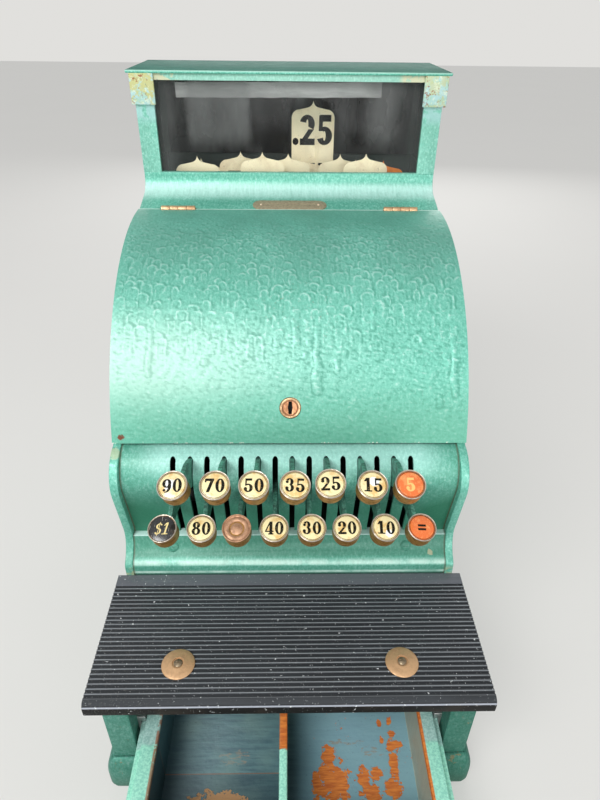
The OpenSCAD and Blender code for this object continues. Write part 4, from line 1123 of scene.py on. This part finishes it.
                        # A painted highlight along the rim, and a painted shadow beside it,
                        # stronger on the right
                        side = 0.75 if dx > 0 else 0.35
                        shadow = side * fade * math.exp(-((abs(gap) - 1.6) / 0.7) ** 2)
                        flow[k] = max(flow[k], rim) if rim > 0.25 else flow[k] - shadow
        for (v, x, s, *_), run, crest in zip(spots, lift, flow):
            skin = 0.16 * noise.noise(Vector((x, s, 0)) * 0.5) + 0.1 * noise.noise(
                Vector((x, s, 9)) * 0.23)
            low = clamp((s - 105) / 50)
            slant = Vector((x * 0.24 + s * 0.13, s * 0.5 - x * 0.13, 5))
            grain = 0.6 * noise.noise(slant) + 0.4 * noise.noise(slant * 1.9)
            skin += low * 0.75 * grain
            # Painted highlight and shade that follow the grain over the lower part
            crest += low * (1.5 * grain - 0.1)
            edge = clamp(min(s, arc / MM - s, 127 - abs(x)) / 3)
            out = Vector((0, v.co.y - centre.y, v.co.z - centre.z)).normalized()
            v.co += out * hood.ridge * (run + skin) * edge
            v[layer] = clamp(crest, -1) * edge


class REGISTER_OT_fittings(bpy.types.Operator):
    """Finishes the hinges, the lock, the screws and the works inside"""

    bl_idname = "ticket_register.fittings"
    bl_label = "Hinges, lock and works"

    def execute(self, context):
        for node in ("fixed_hinge_leaves", "lid_hinge_leaves"):
            dressed(node, "hinge brass", 0.15)
        dressed("lock_barrel", "ring brass", 0.3)
        dressed("lock_plug", "lock brass", 0.25)
        for name, node, material, kept in (
                ("shelf_screws", "panel_screws", "screw brass", lambda at: at.y < FRONT_Y),
                ("strip_screws", "panel_screws", "strip enamel", lambda at: at.y > FRONT_Y),
                ("nameplate_sheet", "nameplate", "plate brass", lambda at: abs(at.x) < 0.02),
                ("nameplate_pins", "nameplate", "pin brass", lambda at: abs(at.x) > 0.02)):
            bm = cad_copy(node)
            other = [shell for shell in islands(bm) if not kept(midpoint(shell))]
            bmesh.ops.delete(bm, geom=[face for shell in other for face in shell], context="FACES")
            round_edges(bm, 0.15 * MM)
            piece(name, bm, "cabinet", material, [node])
        dressed("bell", "aged brass", 0)
        for node in ("key_shaft", "drawer_runners"):
            dressed(node, "steel", 0.2, 1)
        painted("indicator_guides", "steel")
        return {"FINISHED"}


def islands(bm):
    """The separate shells of a bmesh, as lists of faces."""
    left = set(bm.faces)
    shells = []
    while left:
        todo = [left.pop()]
        shell = []
        while todo:
            face = todo.pop()
            shell.append(face)
            for edge in face.edges:
                for other in edge.link_faces:
                    if other in left:
                        left.remove(other)
                        todo.append(other)
        shells.append(shell)
    return shells


def midpoint(faces):
    places = [face.calc_center_bounds() for face in faces]
    return sum(places, Vector()) / len(places)


def extent(faces):
    ys = [v.co.y for face in faces for v in face.verts]
    return max(ys) - min(ys)


def cup_place(key):
    """Where a key's cup stands: its foot's centre, with Z out of the key's face."""
    keys = settings().keys
    low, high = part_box("key_" + key)
    tilt = keys.tilt - (math.radians(4) if key in LOWER_ROW else 0)
    c, s = math.cos(keys.tilt), math.sin(keys.tilt)
    drop = 0.4 * MM
    y = low.y + keys.radius * c + (keys.cup - drop) * s
    z = high.z - (keys.radius - drop) * s - keys.cup * c
    side, up = KEY_PUSH.get(key, (0, 0))
    if key in LOWER_ROW:
        y, z = y - 0.8 * MM, z - 0.7 * MM
    return (Matrix.Translation(((low.x + high.x) / 2 + side * MM, y, z + up * MM))
            @ Matrix.Rotation(math.radians(4) * side, 4, "Y") @ Matrix.Rotation(tilt, 4, "X"))


def face_place(key):
    return cup_place(key) @ Matrix.Translation((0, 0, settings().keys.cup - 0.6 * MM))


# A glyph's strokes stand in a box 1 high and 0.6 wide. T is a thick stroke and t a thin one:
# ("ring", x, z, half width, half height, first angle, sweep), ("bar", x, z, x, z, width) or
# ("dot", x, z, radius)
def glyph(sign, T, t, serif):
    ring, bar, dot = "ring", "bar", "dot"
    slab = [(bar, 0.33, 0, 0.33, t, 0.5)] if serif else []
    table = {
        "0": [(ring, 0.3, 0.5, 0.3, 0.5, 0, 360)],
        "1": [(bar, 0.33, 0, 0.33, 1, T), (bar, 0.12, 0.74, 0.27, 0.99, t * 1.5)] + slab,
        "2": [(ring, 0.29, 0.7, 0.29, 0.3, -35, 200), (bar, 0.12, 0.1, 0.45, 0.53, T * 0.85),
              (bar, 0.3, 0, 0.3, t + 0.07, 0.58)] + ([(dot, 0.13, 0.69, 0.11)] if serif else []),
        "3": [(ring, 0.28, 0.735, 0.26, 0.265, -85, 240),
              (ring, 0.28, 0.29, 0.29, 0.29, -160, 250)]
             + ([(dot, 0.12, 0.72, 0.1), (dot, 0.11, 0.27, 0.11)] if serif else []),
        "4": [(bar, 0.41, 0, 0.41, 1, T), (bar, 0.05, 0.27, 0.37, 1, t),
              (bar, 0.3, 0.2, 0.3, 0.2 + t, 0.6)]
             + ([(bar, 0.41, 0, 0.41, t, 0.36)] if serif else []),
        "5": [(bar, 0.31, 0.93 - t, 0.31, 1, 0.44), (bar, 0.13, 0.47, 0.14, 0.98, t),
              (ring, 0.28, 0.31, 0.3, 0.31, -160, 285)]
             + ([(dot, 0.11, 0.26, 0.11)] if serif else []),
        "7": [(bar, 0.3, 0.91 - t, 0.3, 1, 0.58), (bar, 0.2, 0, 0.48, 0.9, T)]
             + ([(bar, 0.045, 0.72, 0.045, 0.95, t)] if serif else []),
        "8": [(ring, 0.3, 0.745, 0.26, 0.255, 0, 360), (ring, 0.3, 0.28, 0.3, 0.28, 0, 360)],
        "9": [(ring, 0.3, 0.68, 0.3, 0.32, 0, 360), (ring, 0.22, 0.5, 0.38, 0.5, -100, 108)]
             + ([(dot, 0.14, 0.2, 0.1)] if serif else []),
        "$": [(ring, 0.3, 0.72, 0.26, 0.24, 20, 250), (ring, 0.3, 0.28, 0.26, 0.26, -160, 250),
              (bar, 0.3, -0.08, 0.3, 1.08, t * 0.7)],
        ".": [(dot, 0.1, 0.12, 0.12)],
    }
    table["6"] = [(k, 0.6 - x, 1 - z, *rest) if k == "dot" else
                  (k, 0.6 - x, 1 - z, rest[0], rest[1], rest[2] + 180, rest[3])
                  for k, x, z, *rest in table["9"]]
    return table[sign]


def strokes(bm, sign, left, size, T, t, serif, lean):
    """Adds one sign's flat strokes, each a little higher than the one before."""
    shear = Matrix(((size, lean * size, 0, left), (0, size, 0, 0), (0, 0, 1, 0), (0, 0, 0, 1)))
    for level, (kind, *v) in enumerate(glyph(sign, T, t, serif)):
        before = set(bm.verts)
        if kind == "ring":
            x, z, rx, rz, first, sweep = v
            a = math.radians(first)
            ends = [bm.verts.new((r * math.cos(a), r * math.sin(a), 0)) for r in (0.5, 1.0)]
            line = bm.edges.new(ends)
            bmesh.ops.spin(bm, geom=ends + [line], cent=(0, 0, 0), axis=(0, 0, 1), dvec=(0, 0, 0),
                           angle=math.radians(sweep), steps=max(6, int(sweep / 14)),
                           use_merge=sweep == 360, use_duplicate=False)
            new = [p for p in bm.verts if p not in before]
            for p in new:
                inner = p.co.length < 0.75
                p.co = (x + p.co.x * ((rx - T) * 2 if inner else rx),
                        z + p.co.y * ((rz - t) * 2 if inner else rz), 0)
        elif kind == "bar":
            x0, z0, x1, z1, w = v
            bmesh.ops.create_grid(bm, x_segments=1, y_segments=1, size=0.5)
            new = [p for p in bm.verts if p not in before]
            bmesh.ops.transform(bm, verts=new, matrix=Matrix(
                ((w, x1 - x0, 0, (x0 + x1) / 2), (0, z1 - z0, 0, (z0 + z1) / 2), (0, 0, 1, 0),
                 (0, 0, 0, 1))))
        else:
            bmesh.ops.create_circle(bm, cap_ends=True, segments=14, radius=v[2])
            new = [p for p in bm.verts if p not in before]
            bmesh.ops.translate(bm, vec=(v[0], v[1], 0), verts=new)
        bmesh.ops.transform(bm, matrix=shear, verts=new)
        faces = list({f for p in new for f in p.link_faces})
        raised = bmesh.ops.extrude_face_region(bm, geom=faces)["geom"]
        bmesh.ops.translate(bm, vec=(0, 0, (0.05 + 0.006 * level) * MM),
                            verts=[g for g in raised if isinstance(g, bmesh.types.BMVert)])


def figure(text, size, place, T, t, pitch, serif=True, lean=0.0):
    """A number's figures as thin solids, centred at a place whose Z points out of the surface."""
    bm = bmesh.new()
    widths = [0.26 if sign == "." else pitch for sign in text]
    left = -(sum(widths) - (pitch - 0.6)) * size / 2
    for sign, width in zip(text, widths):
        strokes(bm, sign, left, size, T, t, serif, lean)
        left += width * size
    bmesh.ops.translate(bm, vec=(-lean * size / 2, -size / 2, 0), verts=bm.verts)
    bmesh.ops.recalc_face_normals(bm, faces=bm.faces)
    bmesh.ops.transform(bm, matrix=place, verts=bm.verts)
    return bm


class REGISTER_OT_keys(bpy.types.Operator):
    """Makes each key's lever, dented cup, rim, face and figure"""

    bl_idname = "ticket_register.keys"
    bl_label = "Keys"

    def cup(self, key, body, slot, place):
        keys = settings().keys
        r, h, wall = keys.radius / MM, keys.cup / MM, (keys.radius - keys.rim) / MM
        bm = bmesh.new()
        turned(bm, [(0, -2), (7.8, -2), (8.7, -1.6), (9.2, -0.8), (9.4, 1.0), (9.45, 5.0),
                    (9.5, 7.6), (9.6, 9.0), (9.6, h - 1.0), (wall, h - 1.0), (wall, 9.2),
                    (0, 9.2)], place, 40)
        for v in bm.verts:
            out = v.co - place.translation
            up = place.col[2].to_3d()
            side = out - up * out.dot(up)
            if side.length > 7 * MM:
                v.co += side.normalized() * 0.3 * MM * min(0, noise.noise(v.co * 260.0))
        piece(body + "_cup", bm, body, "cup brass")
        bm = bmesh.new()
        turned(bm, [(wall, h - 1.1), (r - 0.2, h - 1.1), (r, h - 0.8), (r, h - 0.35),
                    (r - 0.1, h - 0.1), (r - 0.35, h), (wall + 0.2, h - 0.08), (wall, h - 0.35),
                    (wall, h - 1.1)], place)
        piece(body + "_rim", bm, body, "bare copper" if key == BLANK_KEY else "rim nickel")

    def face(self, key, body, slot, place):
        keys = settings().keys
        wall, h = (keys.radius - keys.rim) / MM, keys.cup / MM
        bm = bmesh.new()
        if key == BLANK_KEY:
            turned(bm, [(0, 8.6), (0, 9.75), (3.4, 9.7), (4.1, 9.45), (4.4, 9.0), (4.8, 9.0),
                        (5.3, 9.8), (6.4, 10.1), (7.5, 10.0), (8.3, 9.6), (wall - 0.02, 9.9),
                        (wall - 0.02, 8.6), (0, 8.6)], place, 40)
            piece(body + "_face", bm, body, "bare copper")
            return
        turned(bm, [(0, 9.0), (0, h - 0.6), (wall - 0.6, h - 0.6), (wall - 0.35, h - 0.7),
                    (wall - 0.35, 9.0), (0, 9.0)], place, 40)
        tone = {"dollar": "face black", "5": "face orange", "no_sale": "face orange"}
        piece(body + "_face", bm, body, tone.get(key, "face cream"))

    def execute(self, context):
        keys = settings().keys
        for key in KEY_NAMES:
            body = "key_" + key
            slot = SLOTS[body]
            bm = cad_copy(body)
            shells = sorted(islands(bm), key=extent)
            bmesh.ops.delete(bm, geom=[f for shell in shells[:-1] for f in shell], context="FACES")
            round_edges(bm, 0.3 * MM)
            piece(body + "_lever", bm, body, "blade paint", [body])
            place = cup_place(key)
            self.cup(key, body, slot, place)
            self.face(key, body, slot, place)
            if key == BLANK_KEY:
                continue
            top = place @ Matrix.Translation((0, 0, keys.cup - 0.62 * MM))
            if key == "no_sale":
                bm = bmesh.new()
                for z in (1.3, -1.3):
                    before = set(bm.verts)
                    bmesh.ops.create_cube(bm, size=1.0)
                    bmesh.ops.transform(bm, verts=[v for v in bm.verts if v not in before],
                                        matrix=Matrix.Translation((0, z * MM, 0))
                                        @ Matrix.Diagonal((5.4 * MM, 1.5 * MM, 0.12 * MM, 1)))
                bmesh.ops.transform(bm, matrix=top, verts=bm.verts)
                shade = "ink black"
            elif key == "dollar":
                bm = figure("$1", 8.0 * MM, top, 0.14, 0.07, 0.6, lean=0.24)
                shade = "ink cream"
            else:
                bm = figure(key, keys.figure, top @ Matrix.Diagonal((1.06, 1, 1, 1)), 0.21, 0.095,
                            0.69)
                shade = "ink yellow" if key == "5" else "ink black"
            piece(body + "_figure", bm, body, shade)
            if key == "dollar":
                continue
            bm = bmesh.new()
            line = keys.cup / MM - 0.65
            turned(bm, [(8.0, line), (8.0, line + 0.09), (8.3, line + 0.09), (8.3, line),
                        (8.0, line)], place)
            piece(body + "_line", bm, body, "ink black")
        return {"FINISHED"}


class REGISTER_OT_tabs(bpy.types.Operator):
    """Colours the indicator tabs and puts their amounts on both sides"""

    bl_idname = "ticket_register.tabs"
    bl_label = "Indicator tabs"

    def plate(self, body, shade, reach, shift):
        """A tab whose foot, or whose top, stands a little lower or higher on its rod."""
        bm = cad_copy(body)
        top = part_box(body)[1].z
        for v in bm.verts:
            under = (v.co.z - top) / MM
            if under > reach if shift > 0 else abs(under - reach) < 0.1:
                v.co.z += shift * MM
        piece(body + "_plate", bm, body, shade, [body])

    def execute(self, context):
        shifts = {"25": (-48, -5), "no_sale": (-30, 3)}
        for key in KEY_NAMES:
            body = "tab_" + key
            shade = "tab orange" if key == "no_sale" else "tab cream"
            if key in shifts:
                self.plate(body, shade, *shifts[key])
            else:
                painted(body, shade)
            if key == "no_sale":
                continue
            amount = {"dollar": "1.00", "5": ".05"}.get(key, "." + key)
            size = 26 * MM if len(amount) < 4 else 20 * MM
            low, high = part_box(body)
            drop = (11.2 if key == "25" else 16.5) * MM
            middle = Vector(((low.x + high.x) / 2, (low.y + high.y) / 2, high.z - drop - size / 2))
            for side, turn in (("front", 0), ("back", math.pi)):
                place = (Matrix.Translation(middle) @ Matrix.Rotation(turn, 4, "Z")
                         @ Matrix.Translation((0, -0.4 * MM, 0))
                         @ Matrix.Rotation(math.pi / 2, 4, "X")
                         @ Matrix.Diagonal((0.92 if len(amount) < 4 else 0.72, 1, 1, 1)))
                bm = figure(amount, size, place, 0.25, 0.15, 0.68, serif=False)
                piece(f"{body}_{side}", bm, body, "ink tab")
        return {"FINISHED"}


class REGISTER_OT_shelf(bpy.types.Operator):
    """Rounds the shelf's ribs and finishes its medallions"""

    bl_idname = "ticket_register.shelf"
    bl_label = "Shelf"

    def execute(self, context):
        dressed("shelf_plate", "shelf black", 0.55, 3)
        low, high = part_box("shelf_medallions")
        bm = bmesh.new()
        for side in (-1, 1):
            place = Matrix.Translation((side * (high.x - 11.25 * MM), (low.y + high.y) / 2, low.z))
            turned(bm, [(1.55, 0), (11.0, 0), (11.25, 0.3), (11.2, 0.65), (10.8, 0.95),
                        (8.0, 1.45), (4.6, 2.1), (4.2, 2.2), (3.9, 2.1), (3.75, 1.4), (1.55, 1.4),
                        (1.55, 0)], place, 64)
        node = "shelf_medallions"
        piece(node + "_dressed", bm, "cabinet", "medallion brass", [node], 50)
        return {"FINISHED"}


class REGISTER_OT_base(bpy.types.Operator):
    """Paints the base and its foot moulding"""

    bl_idname = "ticket_register.base"
    bl_label = "Base"

    def execute(self, context):
        dressed("base_walls", "base enamel", 0.8, 3)
        dressed("foot_moulding", "base enamel", 0.6)
        painted("base_floor", "dark board")
        return {"FINISHED"}


class REGISTER_OT_drawer(bpy.types.Operator):
    """Paints and wears the till drawer"""

    bl_idname = "ticket_register.drawer"
    bl_label = "Till drawer"

    def execute(self, context):
        dressed("drawer_box", "drawer paint", 1.0, 3)
        dressed("coin_tray", "drawer paint", 0.7)
        dressed("drawer_front", "base enamel", 1.0, 3)
        return {"FINISHED"}


class REGISTER_OT_stage(bpy.types.Operator):
    """Sets the floor, the lights, the world and the camera"""

    bl_idname = "ticket_register.stage"
    bl_label = "Stage"

    def lamp(self, name, place, size, power):
        data = bpy.data.lights.new(name, "AREA")
        data.shape = "RECTANGLE"
        data.size, data.size_y = size
        data.energy = power
        made = bpy.data.objects.new(name, data)
        made.location = place
        made.rotation_euler = (Vector(AIM) - Vector(place)).to_track_quat("-Z", "Y").to_euler()
        bpy.context.scene.collection.objects.link(made)

    def execute(self, context):
        scene = bpy.context.scene
        bm = bmesh.new()
        bmesh.ops.create_grid(bm, x_segments=8, y_segments=8, size=6.0)
        bmesh.ops.translate(bm, vec=(0, 0, -0.0005), verts=bm.verts)
        mesh = bpy.data.meshes.new("stage_floor")
        bm.to_mesh(mesh)
        bm.free()
        mesh.materials.append(finish("floor"))
        floor = bpy.data.objects.new("stage_floor", mesh)
        scene.collection.objects.link(floor)
        world = bpy.data.worlds.new("studio")
        scene.world = world
        sky = Tree(world)
        room, seen = (
            sky.node("ShaderNodeBackground", {}, {"Color": linear(tone), "Strength": glow})
            for tone, glow in ((ROOM, ROOM_GLOW), (BACKDROP, BACKDROP_GLOW)))
        shown = sky.node("ShaderNodeMixShader", {}, {0: sky.looked_at(), 1: room, 2: seen})
        sky.node("ShaderNodeOutputWorld", {}, {"Surface": shown})
        for lamp in LAMPS:
            self.lamp(*lamp)
        data = bpy.data.cameras.new("camera")
        data.lens = LENS
        data.sensor_width = SENSOR
        data.sensor_fit = "AUTO"
        camera = bpy.data.objects.new("camera", data)
        turn = (Matrix.Rotation(math.radians(CAMERA_SIDE), 4, "Z")
                @ Matrix.Rotation(math.radians(90 - CAMERA_DOWN), 4, "X")
                @ Matrix.Rotation(math.radians(CAMERA_ROLL), 4, "Z"))
        camera.matrix_world = Matrix.Translation(CAMERA_PLACE) @ turn
        scene.collection.objects.link(camera)
        scene.camera = camera
        scene.view_settings.view_transform = "Standard"
        return {"FINISHED"}


OPERATORS = (REGISTER_OT_cabinet, REGISTER_OT_window, REGISTER_OT_hood, REGISTER_OT_fittings,
             REGISTER_OT_keys, REGISTER_OT_tabs, REGISTER_OT_shelf, REGISTER_OT_base,
             REGISTER_OT_drawer, REGISTER_OT_stage)


class REGISTER_PT_panel(bpy.types.Panel):
    """Lists the register's settings and pieces"""

    bl_idname = "REGISTER_PT_panel"
    bl_label = "Ticket register"
    bl_space_type = "VIEW_3D"
    bl_region_type = "UI"
    bl_category = "Register"

    def draw(self, context):
        groups = context.scene.ticket_register
        for name in ("paint", "hood", "keys"):
            box = self.layout.box()
            box.label(text=name.capitalize())
            group = getattr(groups, name)
            for key in group.__annotations__:
                box.prop(group, key)
        for operator in OPERATORS:
            self.layout.operator(operator.bl_idname)


CLASSES = (PaintSettings, HoodSettings, KeySettings, RegisterSettings, *OPERATORS,
           REGISTER_PT_panel)


def register():
    for cls in CLASSES:
        bpy.utils.register_class(cls)
    bpy.types.Scene.ticket_register = PointerProperty(type=RegisterSettings)


def unregister():
    del bpy.types.Scene.ticket_register
    for cls in reversed(CLASSES):
        bpy.utils.unregister_class(cls)


def main():
    register()
    for operator in OPERATORS:
        group, name = operator.bl_idname.split(".")
        getattr(getattr(bpy.ops, group), name)()


if __name__ == "__main__":
    main()
